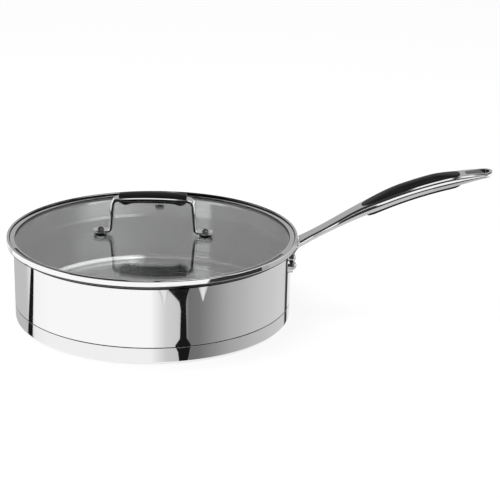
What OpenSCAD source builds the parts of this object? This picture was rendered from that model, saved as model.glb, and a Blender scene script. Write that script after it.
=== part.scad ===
// Saute pan with a flat glass lid.
// The origin is the centre of the underside, +Z is up and the long handle points along +X.

/* [Pan] */
// Inside radius of the straight wall
pan_inner_r = 140; // [120:1:160]
// Thickness of the steel wall and floor
wall_t = 1.2; // [1:0.1:2]
// Height of the flared lip above the table
pan_h = 80; // [70:1:110]
// Outside radius of the corner between floor and wall
corner_r = 9; // [7:0.5:12]
// How far the pouring lip leans out of the wall
lip_reach = 2.4; // [1.6:0.2:3.4]
// Height over which the lip leans out
lip_h = 2.6; // [2:0.2:4]

/* [Base] */
// Thickness of the steel base cap
cap_t = 0.6; // [0.5:0.1:0.8]
// Thickness of the aluminium core under the floor
core_t = 6; // [4:0.5:8]
// Height of the seam where the base cap ends
seam_z = 18.2; // [16.5:0.1:22]
// Open line between the cap's edge and the wall above it
seam_gap = 0.3; // [0.2:0.1:0.5]
// Outside radius of the base cap's lower edge
base_corner_r = 5; // [4:0.5:6]

/* [Handle] */
// Distance from the wall to the tip of the handle
handle_reach = 200.5; // [180:0.1:240]
// Height of the neck's centre line above the lip, 9 mm out from the wall
neck_rise = 0.8; // [-2:0.2:4]
// Slope of the neck above level
neck_angle = 30; // [26:0.5:34]
// Slope of the handle at its tip
tip_angle = 9; // [4:1:14]
// Distance from the wall to the end of the straight neck
neck_run = 51.8; // [45:0.2:59]
// Thickness of the neck
neck_t = 6.1; // [5:0.1:7]
// Extra thickness where the neck meets the wall
root_extra_t = 0.8; // [0.4:0.2:2]
// Extra width of each side where the neck meets the wall
root_extra_w = 2; // [0:0.5:4]
// Thickness of the steel at the grip
grip_t = 10.3; // [8.5:0.1:12]
// Thickness of the steel at the tip
tip_t = 4.4; // [4:0.2:5]
// Width of the neck
neck_w = 20; // [18:0.5:23]
// Width of the handle at the grip
grip_w = 26; // [24:0.5:30]
// Width of the handle at the start of its round tip
tip_w = 24; // [22:0.5:28]
// Length of the round end of the tip
tip_round = 9; // [7:0.5:12]
// How far the bevels under the handle run in from its sides
bevel_in = 3; // [2:0.2:4]
// Slope of those bevels above level
bevel_angle = 50; // [40:1:60]
// Radius under the neck where it runs into the flange
root_fillet_r = 16; // [12:1:18]

/* [Hanging slot] */
// Length of the slot along the handle
slot_len = 24; // [20:1:28]
// Width of the slot's wide end
slot_w = 14; // [10:0.5:15]
// Width of the slot's narrow end
slot_narrow_w = 6; // [5:0.5:8]
// Steel left between the slot and the tip
slot_edge = 3.3; // [2.8:0.1:5]

/* [Flange and rivets] */
// Thickness of the handle's flange
flange_t = 3.2; // [2.5:0.1:4]
// Width of the flange round the wall
flange_w = 42; // [38:1:50]
// Height of the flange
flange_h = 15; // [13:0.5:18]
// How far the rivets lie below the lip
rivet_drop = 21.2; // [18:0.2:23]
// Distance between the two rivets
rivet_pitch = 24; // [20:1:28]
// Radius of the rivet's shank
rivet_r = 2.6; // [2:0.1:3]
// Radius of the rivet's head
rivet_head_r = 4.5; // [4:0.1:5.5]
// Height of the rivet's outer head
rivet_head_h = 3.2; // [2:0.1:4]
// Height of the rivet's head inside the pan
rivet_inner_h = 1.8; // [1.2:0.1:3]

/* [Handle grips] */
// Distance from the wall to the start of the top grip
top_grip_start = 70.3; // [67:0.1:75]
// Length of the top grip
top_grip_len = 97; // [90:1:100]
// Steel left beside the top grip
top_grip_edge = 1.8; // [1.2:0.2:3]
// Depth of the top grip in the steel
top_grip_depth = 2.2; // [1.5:0.1:2.6]
// Height of the top grip's crown above the steel
top_grip_crown = 4.1; // [3:0.1:5]
// Slope of the crown's sides below level
top_grip_slope = 32; // [24:1:36]
// Distance from the handle's side to where the crown's slope starts
top_grip_slope_in = 8; // [7:0.5:10]
// Distance from the wall to the start of the under grip
under_grip_start = 74.8; // [71:0.1:80]
// Length of the under grip
under_grip_len = 94; // [88:1:98]
// Width of the under grip
under_grip_w = 16; // [12:0.5:18]
// Depth of the under grip in the steel
under_grip_depth = 1.6; // [1:0.1:2]
// Height by which the under grip stands out of the steel
under_grip_crown = 2.1; // [1:0.1:2.6]
// Radius of the pegs that join the two grips through the steel
grip_peg_r = 3; // [2.5:0.1:4]

/* [Lid ring] */
// How far the lid ring reaches out past the pan's wall
ring_reach = 6.8; // [5.4:0.1:8.8]
// Thickness of the ring's folded sheet
ring_t = 0.6; // [0.5:0.1:0.7]
// Width of the raised bead round the ring
bead_w = 2.8; // [2.4:0.1:3.4]
// Rise of the bead above the flat band
bead_rise = 2; // [1.8:0.1:3.5]
// Width of the flat band between bead and glass opening
band_w = 5.4; // [4.5:0.1:6]
// Height of the slanted underside below the ring's upright side
chin_h = 2.4; // [1.6:0.1:2.8]
// Depth of the skirt that centres the lid in the pan
skirt_h = 3.4; // [2.5:0.1:5]
// Gap between the skirt and the pan's wall
skirt_gap = 0.8; // [0.5:0.1:1.5]

/* [Glass and seal] */
// Thickness of the glass
glass_t = 4; // [3:0.1:4.4]
// Thickness of the silicone seal above and below the glass
seal_t = 0.4; // [0.3:0.1:0.6]
// Gap between the edge of the glass and the bead's inner wall
glass_room = 0.6; // [0.4:0.1:1]
// Distance from the ring's inner edge to the steam vent
vent_in = 41.8; // [20:0.2:60]
// Radius of the vent's hole
vent_r = 2.2; // [1.5:0.1:2.6]
// Radius of the eyelet's flange
eyelet_r = 5; // [4.4:0.1:6]
// Thickness of the eyelet's sheet
eyelet_t = 0.5; // [0.4:0.1:0.7]

/* [Lid handle] */
// Width of the strap
strap_w = 14.3; // [12:0.1:18]
// Thickness of the strap
strap_t = 1.8; // [1.5:0.1:2.4]
// Distance from the centre to the end of a foot
foot_end_x = 61; // [59:0.5:66]
// Distance from the centre to the outside of a leg at its foot
leg_foot_x = 43.8; // [41:0.2:46]
// Distance from the centre to the outside of a leg at its top
leg_top_x = 41; // [39:0.2:44]
// Height of the bar's ends above the glass, to the middle of the strap
strap_h = 38.2; // [34:0.2:46]
// Rise of the bar's bow from its ends to its middle
bar_bow = 1.8; // [0.6:0.2:3]
// Radius of the strap's bends at the feet
foot_bend_r = 4.5; // [3.5:0.5:6]
// Radius of the strap's bends at the bar
top_bend_r = 5.5; // [4:0.5:6]

/* [Lid grips] */
// Length of the two pads on the bar
pad_len = 68; // [60:1:68]
// How much wider the pads are than the strap
pad_over = 1; // [0.4:0.2:2]
// Thickness of the top pad at its ends
top_pad_t = 3; // [2:0.1:4]
// Extra thickness of the top pad in its middle
top_pad_crown = 1.2; // [0.6:0.1:2]
// Thickness of the under pad in its middle
under_pad_t = 2.6; // [1.8:0.1:3.5]
// Extra thickness of the under pad at its two lobes
lobe_t = 2.6; // [1.5:0.1:3.5]
// Distance from the centre to a lobe
lobe_x = 28; // [24:0.5:28]
// Radius of the pegs that join the pads through the strap
pad_peg_r = 2.4; // [2:0.1:3]

/* [Lid fasteners] */
// Distance from the centre to a screw
screw_x = 53.4; // [52.5:0.1:54.5]
// Radius of the screw's shank
screw_r = 2; // [1.5:0.1:2.2]
// Radius of the screw's domed head
screw_head_r = 3.6; // [3:0.1:4.2]
// Height of the screw's domed head
screw_head_h = 2.6; // [2.4:0.1:3.4]
// Size of the screw's hexagon socket across its corners
socket_w = 2.9; // [2.4:0.1:3.2]
// Thickness of the gasket under a foot
gasket_t = 2.4; // [1.6:0.1:3.2]
// Radius of the gasket under a foot
gasket_r = 6.8; // [6:0.1:7]
// Thickness of the gasket's collar in the glass
collar_t = 1; // [0.6:0.1:1.5]
// Thickness of the silicone washer under the glass
seal_washer_t = 0.8; // [0.6:0.1:2]
// Thickness of the steel washer under the glass
washer_t = 0.6; // [0.5:0.1:1.2]
// Radius of the washers under the glass
washer_r = 5; // [4.8:0.1:7]
// Width of the cap nut across its flats
nut_w = 7; // [6.5:0.1:8]
// Height of the cap nut's hexagon
nut_h = 2.2; // [1.8:0.1:4]
// Height of the cap nut's dome
nut_dome_h = 1.5; // [1:0.1:2.4]

/* [Hidden] */

$fn = 96;
steel = [0.78, 0.78, 0.79];
bright_steel = [0.86, 0.86, 0.87];
aluminium = [0.66, 0.67, 0.69];
silicone = [0.07, 0.07, 0.075];
glass = [0.72, 0.78, 0.78, 0.35];

// A loose hole, a snug one, and the room between the long handle and the lid's path
loose = 0.25;
snug = 0.1;
lid_room = 0.9;

wall_r = pan_inner_r + wall_t;
body_low_r = wall_r - cap_t;
floor_under_z = cap_t + core_t;
floor_z = floor_under_z + wall_t;
lip_r = wall_r + lip_reach;
lip_z = pan_h - lip_h;
flange_r = wall_r + flange_t;
rivet_z = pan_h - rivet_drop;
rivet_angle = asin(rivet_pitch / 2 / wall_r);

neck_z = pan_h + neck_rise;
neck_end_x = wall_r + neck_run;
tip_x = wall_r + handle_reach;
top_grip_x = wall_r + top_grip_start;
under_grip_x = wall_r + under_grip_start;

// Where the handle's size eases to its next value: from the wall outwards,
// from the neck's end outwards, back from the tip, and from the two ends of the top grip
root_thin = [9, 30];
root_narrow = [6, 22];
thicken = [-25, 35];
widen = [7, 42];
tip_thin = [46, -4];
tip_narrow = 44;
crown_rise = [-6, 42];
crown_fall = [26, -5];

ring_r = wall_r + ring_reach;
ring_z = pan_h;
glass_z = ring_z + ring_t + seal_t;
glass_top_z = glass_z + glass_t;
band_top_z = glass_top_z + seal_t + ring_t;
ring_top_z = band_top_z + bead_rise;
bead_in_r = ring_r - bead_w;
opening_r = bead_in_r - band_w;
glass_r = bead_in_r - glass_room;
seal_r = ring_r - chin_h - snug;
skirt_r = pan_inner_r - skirt_gap;
vent_y = opening_r - vent_in;

foot_z = glass_top_z + gasket_t;
bar_z = glass_top_z + strap_h;
bar_x = leg_top_x - strap_t / 2;
glass_hole_r = screw_r + collar_t + 2 * snug;
// Longer than the whole part, so a cut this deep always goes through
through = 2 * tip_x;
nut_z = glass_z - seal_washer_t - washer_t;
pad_peg_x = lobe_x - 2;

// A value that eases from a at x0 to b at x1
function eased(x, x0, x1, a, b) =
    let(u = min(1, max(0, (x - x0) / (x1 - x0)))) a + (b - a) * (1 - cos(180 * u)) / 2;

// Points along an arc round [cx, cy]
function arc(cx, cy, r, a0, a1, n = 12) =
    [for (i = [0:n]) let(a = a0 + (a1 - a0) * i / n) [cx + r * cos(a), cy + r * sin(a)]];

function reversed(p) = [for (i = [len(p) - 1:-1:0]) p[i]];

// Direction square to a path at point i, to the left of its travel
function normal_at(p, i) =
    let(d = p[min(i + 1, len(p) - 1)] - p[max(i - 1, 0)]) [-d[1], d[0]] / norm(d);

// A path moved sideways by one distance a point
function moved(p, d) = [for (i = [0:len(p) - 1]) p[i] + d[i] * normal_at(p, i)];

// A path whose inner corners are rounded with radius r
function rounded(p, r) = [
    for (i = [0:len(p) - 1])
        if (i == 0 || i == len(p) - 1) p[i]
        else
            let(u = (p[i - 1] - p[i]) / norm(p[i - 1] - p[i]),
                v = (p[i + 1] - p[i]) / norm(p[i + 1] - p[i]),
                half = acos(u * v) / 2,
                m = (u + v) / norm(u + v),
                c = p[i] + m * r[i] / sin(half),
                a0 = atan2((p[i] + u * r[i] / tan(half) - c)[1], (p[i] + u * r[i] / tan(half) - c)[0]),
                a1 = atan2((p[i] + v * r[i] / tan(half) - c)[1], (p[i] + v * r[i] / tan(half) - c)[0]),
                turn = a1 - a0 > 180 ? a1 - a0 - 360 : (a1 - a0 < -180 ? a1 - a0 + 360 : a1 - a0))
            each arc(c[0], c[1], r[i], a0, a0 + turn, 8)
];

// Turns an outline drawn in X and Z into a plate of the given width, centred on the XZ plane
module plate(w) {
    rotate([90, 0, 0]) translate([0, 0, -w / 2]) linear_extrude(w) children();
}

// Copies its children to the two feet of the lid handle
module at_feet() {
    for (side = [-1, 1]) translate([side * screw_x, 0, 0]) children();
}

// A domed cap of radius r and height h on the XY plane
module dome(r, h) {
    ball_r = (r * r + h * h) / (2 * h);
    rotate_extrude() polygon(concat([[0, 0]], arc(0, h - ball_r, ball_r, 90 - asin(r / ball_r), 90, 16)));
}

// Pan

function flare(r) = [for (i = [0:8]) let(u = i / 8) [r + lip_reach * u * u, lip_z + lip_h * u]];

module rivet_holes() {
    for (a = [-rivet_angle, rivet_angle])
        rotate([0, 0, a]) translate([pan_inner_r - 5, 0, rivet_z])
            rotate([0, 90, 0]) cylinder(h = wall_t + flange_t + 10, r = rivet_r + snug);
}

module pan_body() {
    color(bright_steel) difference() {
        rotate_extrude($fn = 180) polygon(concat(
            [[0, floor_under_z]],
            arc(body_low_r - corner_r, floor_under_z + corner_r, corner_r, -90, 0),
            [[body_low_r, seam_z], [wall_r, seam_z]],
            flare(wall_r),
            reversed(flare(pan_inner_r)),
            reversed(arc(pan_inner_r - corner_r + wall_t, floor_z + corner_r - wall_t,
                         corner_r - wall_t, -90, 0)),
            [[0, floor_z]]
        ));
        rivet_holes();
    }
}

// The core's rim stops where it has thinned to half a millimetre.
// It is brazed to the flat floor and stays a hair clear of the corner above it.
module base_core() {
    rim_t = 0.5;
    bend_r = corner_r + snug;
    bend_x = body_low_r - corner_r;
    bend_z = floor_under_z + corner_r;
    stop = acos((corner_r - rim_t) / bend_r);
    color(aluminium) rotate_extrude($fn = 180) polygon(concat(
        [[0, cap_t]],
        arc(wall_r - base_corner_r, base_corner_r, base_corner_r - cap_t, -90, 0),
        [[body_low_r, bend_z - bend_r * sin(stop)]],
        reversed(arc(bend_x, bend_z, bend_r, -90, -stop)),
        [[bend_x, floor_under_z], [0, floor_under_z]]
    ));
}

module base_cap() {
    color(bright_steel) rotate_extrude($fn = 180) polygon(concat(
        [[0, 0]],
        arc(wall_r - base_corner_r, base_corner_r, base_corner_r, -90, 0),
        [[wall_r, seam_z - seam_gap], [body_low_r, seam_z - seam_gap]],
        reversed(arc(wall_r - base_corner_r, base_corner_r, base_corner_r - cap_t, -90, 0)),
        [[0, cap_t]]
    ));
}

// Long handle

// Radius of the grip's gentle arc, from the neck's slope to the tip's
grip_arc_r = (tip_x - neck_end_x) / (sin(neck_angle) - sin(tip_angle));
neck_end_z = neck_z + (neck_run - root_thin[0]) * tan(neck_angle);

// Height of the handle's centre line at a given distance from the pan's axis
function centre_z(x) = x <= neck_end_x
    ? neck_end_z - (neck_end_x - x) * tan(neck_angle)
    : let(a = asin(sin(neck_angle) - (x - neck_end_x) / grip_arc_r))
        neck_end_z + grip_arc_r * (cos(a) - cos(neck_angle));

function stations(x0, x1, n = 30) =
    [for (i = [0:n]) let(x = x0 + (x1 - x0) * i / n) [x, centre_z(x)]];

function half_t(x) = neck_t / 2
    + eased(x, neck_end_x + thicken[0], neck_end_x + thicken[1], 0, (grip_t - neck_t) / 2)
    - eased(x, tip_x - tip_thin[0], tip_x - tip_thin[1], 0, (grip_t - tip_t) / 2);

function root_t(x) = eased(x, wall_r + root_thin[0], wall_r + root_thin[1], root_extra_t, 0);

function half_w(x) = neck_w / 2
    + eased(x, wall_r + root_narrow[0], wall_r + root_narrow[1], root_extra_w, 0)
    + eased(x, neck_end_x + widen[0], neck_end_x + widen[1], 0, (grip_w - neck_w) / 2)
    - eased(x, tip_x - tip_narrow, tip_x - tip_round, 0, (grip_w - tip_w) / 2);

// The side view of what lies between two offsets from a path
module band(path, low, high) {
    polygon(concat(moved(path, low), reversed(moved(path, high))));
}

// The handle's outline from above, inset all round, with half-ellipses for ends
module plan_outline(x0, x1, end0, end1, inset = 0) {
    w0 = half_w(x0 + end0) - inset;
    w1 = half_w(x1 - end1) - inset;
    half = concat(
        [for (a = [5:10:85]) [x0 + end0 * (1 - cos(a)), w0 * sin(a)]],
        [for (i = [0:24]) let(x = x0 + end0 + (x1 - end1 - x0 - end0) * i / 24) [x, half_w(x) - inset]],
        [for (a = [85:-10:5]) [x1 - end1 * (1 - cos(a)), w1 * sin(a)]]
    );
    polygon(concat(half, [for (q = reversed(half)) [q[0], -q[1]]]));
}

// A slab on one side of a face that follows a path seen from the side.
// The face passes in_w beside the handle's side and slopes across the handle by an angle.
module slab(path, in_w, angle, depth, side) {
    face = [for (q = path) [q[0], (q[1] - (half_w(q[0]) - in_w) * tan(angle)) * cos(angle)]];
    mirror([0, side, 0]) rotate([angle, 0, 0]) plate(through)
        polygon(concat(face, [for (q = reversed(face)) q + [0, depth]]));
}

slab_t = 2 * (grip_w + grip_t);

// The steel bar, flat on top, with both lower edges bevelled
module handle_bar() {
    path = stations(wall_r - 3, tip_x, 48);
    low = [for (q = path) -half_t(q[0])];
    intersection() {
        plate(grip_w + 10) band(path, low, [for (q = path) half_t(q[0]) + root_t(q[0])]);
        linear_extrude(through) plan_outline(wall_r - 3, tip_x, 0.1, tip_round);
        slab(moved(path, low), bevel_in, bevel_angle, slab_t, 0);
        slab(moved(path, low), bevel_in, bevel_angle, slab_t, 1);
    }
}

// The curved web that carries the bar's root on the flange
module handle_web() {
    low = neck_t / 2 / cos(neck_angle);
    far_x = wall_r + 32;
    plate(neck_w - 2 * bevel_in) polygon(concat(
        [[wall_r - 3, rivet_z]],
        rounded([[flange_r, rivet_z], [flange_r, centre_z(flange_r) - low], [far_x, centre_z(far_x) - low]],
                [0, root_fillet_r, 0]),
        [[far_x, centre_z(far_x)], [wall_r - 3, centre_z(wall_r - 3)]]
    ));
}

module hanging_slot() {
    wide_r = slot_w / 2;
    narrow_r = slot_narrow_w / 2;
    x1 = tip_x - slot_edge - wide_r;
    x0 = tip_x - slot_edge - slot_len + narrow_r;
    tilt = asin((wide_r - narrow_r) / (x1 - x0));
    translate([0, 0, centre_z(x1) - slot_len]) linear_extrude(2 * slot_len) {
        translate([x1, 0]) circle(r = wide_r);
        translate([x0, 0]) circle(r = narrow_r);
        polygon([for (q = [[x0, narrow_r, 1], [x1, wide_r, 1], [x1, wide_r, -1], [x0, narrow_r, -1]])
            [q[0] - q[1] * sin(tilt), q[2] * q[1] * cos(tilt)]]);
    }
}

// The flange hugs the wall and has round ends
module flange() {
    intersection() {
        difference() {
            cylinder(h = rivet_z + flange_h, r = flange_r, $fn = 180);
            translate([0, 0, -1]) cylinder(h = rivet_z + flange_h + 2, r = wall_r, $fn = 180);
        }
        translate([wall_r - 8, 0, rivet_z]) rotate([90, 0, 90]) linear_extrude(20) {
            square([flange_w - flange_h, flange_h], center = true);
            for (side = [-1, 1]) translate([side * (flange_w - flange_h) / 2, 0]) circle(d = flange_h);
        }
    }
}

// The crown rises from both ends to its full height and slopes down to both sides
module top_grip_shape() {
    x1 = top_grip_x + top_grip_len;
    path = stations(top_grip_x - 2, x1 + 2);
    end_rise = 0.5;
    high = [for (q = path) half_t(q[0])
        + eased(q[0], top_grip_x + crown_rise[0], top_grip_x + crown_rise[1], end_rise, top_grip_crown)
        - eased(q[0], x1 - crown_fall[0], x1 - crown_fall[1], 0, top_grip_crown - end_rise)];
    intersection() {
        plate(grip_w + 10) band(path, [for (q = path) half_t(q[0]) - top_grip_depth], high);
        linear_extrude(through) plan_outline(top_grip_x, x1, 14, 9, top_grip_edge);
        slab(moved(path, high), top_grip_slope_in, -top_grip_slope, -slab_t, 0);
        slab(moved(path, high), top_grip_slope_in, -top_grip_slope, -slab_t, 1);
    }
}

module under_grip_shape() {
    x1 = under_grip_x + under_grip_len;
    path = stations(under_grip_x - 2, x1 + 2);
    end_rise = 0.2;
    low = [for (q = path) -half_t(q[0])
        - eased(q[0], under_grip_x - 3, under_grip_x + 14, end_rise, under_grip_crown)
        + eased(q[0], x1 - 14, x1 + 3, 0, under_grip_crown - end_rise)];
    intersection() {
        plate(grip_w + 10) band(path, low, [for (q = path) under_grip_depth - half_t(q[0])]);
        linear_extrude(through) translate([under_grip_x, -under_grip_w / 2])
            square([under_grip_len, under_grip_w]);
    }
}

// Pegs of the top grip reach through the steel and halfway into the under grip
module grip_pegs(r) {
    for (x = [top_grip_x + 26, top_grip_x + top_grip_len - 28])
        translate([x, 0, centre_z(x) - half_t(x)])
            cylinder(h = 2 * half_t(x) - top_grip_depth / 2, r = r);
}

module handle_frame() {
    color(steel) difference() {
        union() {
            handle_bar();
            handle_web();
            flange();
        }
        cylinder(h = ring_z, r = wall_r, $fn = 180);
        translate([0, 0, lip_z - lid_room]) cylinder(h = 20, r = lip_r + lid_room / 2, $fn = 180);
        translate([0, 0, ring_z - lid_room]) cylinder(h = through, r = ring_r + lid_room, $fn = 180);
        rivet_holes();
        hanging_slot();
        top_grip_shape();
        under_grip_shape();
        grip_pegs(grip_peg_r + snug);
    }
}

module handle_top_grip() {
    color(silicone) {
        top_grip_shape();
        grip_pegs(grip_peg_r);
    }
}

module handle_under_grip() {
    color(silicone) difference() {
        under_grip_shape();
        grip_pegs(grip_peg_r + snug);
    }
}

// The heads' flat seats meet the curved wall and flange along their middles
module handle_rivets() {
    seat = 0.1;
    color(bright_steel) for (a = [-rivet_angle, rivet_angle]) rotate([0, 0, a]) translate([0, 0, rivet_z]) {
        translate([flange_r, 0, 0]) rotate([0, 90, 0]) dome(rivet_head_r, rivet_head_h);
        translate([pan_inner_r - seat, 0, 0]) rotate([0, -90, 0]) dome(rivet_head_r + 0.5, rivet_inner_h);
        translate([pan_inner_r - seat, 0, 0]) rotate([0, 90, 0])
            cylinder(h = flange_r - pan_inner_r + seat, r = rivet_r);
    }
}

// Lid ring, glass and seal

// One folded sheet: skirt, underside, upright side, bead and the band over the glass
module lid_ring() {
    chin_x = ring_r - chin_h;
    bead_x = ring_r - bead_w / 2;
    bead_z = ring_top_z - bead_w / 2;
    color(bright_steel) rotate_extrude($fn = 180) polygon(concat(
        [[skirt_r - ring_t, ring_z - skirt_h], [skirt_r, ring_z - skirt_h], [skirt_r, ring_z]],
        arc(chin_x, ring_z + chin_h, chin_h, -90, 0),
        arc(bead_x, bead_z, bead_w / 2, 0, 180),
        [[bead_in_r, band_top_z], [opening_r, band_top_z],
         [opening_r, band_top_z - ring_t], [bead_in_r + ring_t, band_top_z - ring_t]],
        reversed(arc(bead_x, bead_z, bead_w / 2 - ring_t, 0, 180)),
        reversed(arc(chin_x, ring_z + chin_h, chin_h - ring_t, -90, 0)),
        [[skirt_r - ring_t, ring_z + ring_t]]
    ));
}

module lid_seal() {
    in_r = opening_r + loose;
    color(silicone) rotate_extrude($fn = 180) polygon([
        [in_r, glass_z - seal_t], [seal_r, glass_z - seal_t],
        [seal_r, glass_top_z + seal_t], [in_r, glass_top_z + seal_t],
        [in_r, glass_top_z], [glass_r, glass_top_z], [glass_r, glass_z], [in_r, glass_z]
    ]);
}

module lid_glass() {
    color(glass) translate([0, 0, glass_z]) difference() {
        cylinder(h = glass_t, r = glass_r, $fn = 180);
        at_feet() translate([0, 0, -1]) cylinder(h = glass_t + 2, r = glass_hole_r);
        translate([0, vent_y, -1]) cylinder(h = glass_t + 2, r = vent_r + eyelet_t + snug);
    }
}

module vent_eyelet() {
    barrel_r = vent_r + eyelet_t;
    color(bright_steel) translate([0, vent_y, glass_z]) rotate_extrude() polygon([
        [vent_r, -eyelet_t], [eyelet_r, -eyelet_t], [eyelet_r, 0], [barrel_r, 0],
        [barrel_r, glass_t], [eyelet_r, glass_t], [eyelet_r, glass_t + eyelet_t], [vent_r, glass_t + eyelet_t]
    ]);
}

// Lid handle

function bow_z(x) = bar_z + bar_bow * (1 - x * x / (bar_x * bar_x));

// Half of the strap's centre line, from the end of the right foot to the bar
bar_end_x = bar_x - top_bend_r - 0.5;
strap_half = rounded(
    [[foot_end_x, foot_z + strap_t / 2], [leg_foot_x - strap_t / 2, foot_z + strap_t / 2],
     [bar_x, bar_z], [bar_end_x, bow_z(bar_end_x)]],
    [0, foot_bend_r, top_bend_r, 0]);
strap_path = concat(
    strap_half,
    [for (i = [1:23]) let(x = bar_end_x * (1 - i / 12)) [x, bow_z(x)]],
    [for (q = reversed(strap_half)) [-q[0], q[1]]]
);

// The bar's upper or lower face along the pads
function bar_face(d) =
    let(steps = 24, line = [for (i = [0:steps]) let(x = pad_len * (i / steps - 0.5)) [x, bow_z(x)]])
    moved(line, [for (q = line) d]);

module strap_holes() {
    for (side = [-1, 1]) translate([side * pad_peg_x, 0, bar_z - 5]) cylinder(h = 12, r = pad_peg_r + snug);
    at_feet() translate([0, 0, foot_z - 1]) cylinder(h = strap_t + 2, r = screw_r + loose);
}

module lid_handle() {
    end_r = strap_w * 0.35;
    color(bright_steel) difference() {
        intersection() {
            plate(strap_w) band(strap_path, [for (q = strap_path) -strap_t / 2],
                [for (q = strap_path) strap_t / 2]);
            linear_extrude(through) {
                square([2 * (foot_end_x - end_r), strap_w], center = true);
                square([2 * foot_end_x, strap_w - 2 * end_r], center = true);
                for (sx = [-1, 1], sy = [-1, 1])
                    translate([sx * (foot_end_x - end_r), sy * (strap_w / 2 - end_r)]) circle(r = end_r);
            }
        }
        strap_holes();
    }
}

module pad_pegs(r) {
    for (side = [-1, 1]) translate([side * pad_peg_x, 0, bow_z(pad_peg_x) - strap_t / 2 - under_pad_t])
        cylinder(h = strap_t + under_pad_t + top_pad_t / 2, r = r);
}

module lid_grip_top() {
    face = bar_face(strap_t / 2);
    color(silicone) {
        plate(strap_w + pad_over) polygon(concat(face, reversed([
            for (q = face) let(u = 2 * q[0] / pad_len) q + [0, top_pad_t + top_pad_crown * (1 - u * u)]
        ])));
        pad_pegs(pad_peg_r);
    }
}

// The under pad thickens into a lobe at each end, which stops the fingers
module lid_grip_under() {
    face = bar_face(-strap_t / 2);
    color(silicone) difference() {
        plate(strap_w + pad_over) polygon(concat(face, reversed([
            for (q = face) let(x = abs(q[0]), away = (x - lobe_x) / 5)
                q - [0, eased(x, lobe_x, pad_len / 2, under_pad_t, 0.5) + lobe_t * exp(-away * away)]
        ])));
        pad_pegs(pad_peg_r + snug);
    }
}

// Lid fasteners

module foot_gaskets() {
    color(silicone) at_feet() difference() {
        union() {
            translate([0, 0, glass_top_z]) cylinder(h = gasket_t, r = gasket_r);
            translate([0, 0, glass_z + snug]) cylinder(h = glass_t, r = screw_r + collar_t + snug);
        }
        translate([0, 0, glass_z - 1]) cylinder(h = glass_t + gasket_t + 2, r = screw_r + snug);
    }
}

module washer_pair(z, h) {
    at_feet() translate([0, 0, z]) difference() {
        cylinder(h = h, r = washer_r);
        translate([0, 0, -1]) cylinder(h = h + 2, r = screw_r + snug);
    }
}

module seal_washers() {
    color(silicone) washer_pair(glass_z - seal_washer_t, seal_washer_t);
}

module lid_washers() {
    color(bright_steel) washer_pair(nut_z, washer_t);
}

module lid_screws() {
    color(bright_steel) at_feet() difference() {
        union() {
            translate([0, 0, foot_z + strap_t]) dome(screw_head_r, screw_head_h);
            translate([0, 0, nut_z - nut_h]) cylinder(h = foot_z + strap_t - nut_z + nut_h, r = screw_r);
        }
        translate([0, 0, foot_z + strap_t + 0.4 * screw_head_h])
            cylinder(h = screw_head_h, d = socket_w, $fn = 6);
    }
}

// The nut's thread is a plain bore, a hair wider than the screw
module lid_cap_nuts() {
    color(bright_steel) at_feet() difference() {
        union() {
            translate([0, 0, nut_z - nut_h]) cylinder(h = nut_h, d = nut_w / cos(30), $fn = 6);
            translate([0, 0, nut_z - nut_h]) rotate([180, 0, 0]) dome(nut_w / 2 - 0.3, nut_dome_h);
        }
        translate([0, 0, nut_z - nut_h - snug]) cylinder(h = nut_h + 1, r = screw_r + snug / 2);
    }
}

pan_body();
base_core();
base_cap();
handle_frame();
handle_top_grip();
handle_under_grip();
handle_rivets();
lid_ring();
lid_seal();
lid_glass();
vent_eyelet();
lid_handle();
lid_grip_top();
lid_grip_under();
foot_gaskets();
seal_washers();
lid_washers();
lid_screws();
lid_cap_nuts();
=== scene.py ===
# %% [markdown]
# # A saute pan with a glass lid
#
# The pan is a deep steel drum with a bonded base, a long cast handle and a flat
# glass lid in a folded steel ring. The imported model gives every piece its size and
# place. This script dresses those pieces: it models each visible one again with
# smooth, rounded forms and gives it the finish that the real metal, glass or
# silicone has.

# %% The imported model
import math

import bpy
from mathutils import Matrix, Vector


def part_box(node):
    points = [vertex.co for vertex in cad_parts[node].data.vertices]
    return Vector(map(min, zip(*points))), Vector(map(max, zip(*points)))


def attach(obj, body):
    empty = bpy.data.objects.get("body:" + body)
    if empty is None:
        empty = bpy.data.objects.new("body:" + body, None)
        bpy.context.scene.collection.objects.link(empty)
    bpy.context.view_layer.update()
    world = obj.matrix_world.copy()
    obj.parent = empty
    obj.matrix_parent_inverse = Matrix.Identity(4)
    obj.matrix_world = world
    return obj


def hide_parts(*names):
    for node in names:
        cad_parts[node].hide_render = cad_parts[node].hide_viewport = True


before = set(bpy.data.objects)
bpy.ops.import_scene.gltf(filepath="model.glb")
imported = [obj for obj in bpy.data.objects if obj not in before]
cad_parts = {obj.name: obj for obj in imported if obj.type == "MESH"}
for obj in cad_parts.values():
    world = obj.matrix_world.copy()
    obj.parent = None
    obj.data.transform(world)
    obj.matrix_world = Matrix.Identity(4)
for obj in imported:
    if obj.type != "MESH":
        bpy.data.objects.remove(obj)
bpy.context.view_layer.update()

# %% [markdown]
# Drawings of cookware are in millimetres, and Blender works in metres, so each
# number below is a millimetre and is multiplied by MM where Blender takes it.
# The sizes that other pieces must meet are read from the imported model. Only the
# small ones, such as the thickness of a sheet, are written here.

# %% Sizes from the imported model
MM = 0.001


def box_mm(node):
    """The lowest and highest corner of a CAD node, in millimetres, to a tenth."""
    return [[round(value / MM, 1) for value in corner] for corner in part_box(node)]


pan_low, pan_high = box_mm("pan_body")
ring_low, ring_high = box_mm("lid_ring")
glass_low, glass_high = box_mm("lid_glass")
wall_r, _, seam_z = box_mm("base_cap")[1]
lip_r, _, pan_h = pan_high
ring_r, _, ring_top_z = ring_high
glass_r, _, glass_top_z = glass_high
glass_z = glass_low[2]
print("wall radius", wall_r, "pan height", pan_h, "ring radius", ring_r, "glass top", glass_top_z)

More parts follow.
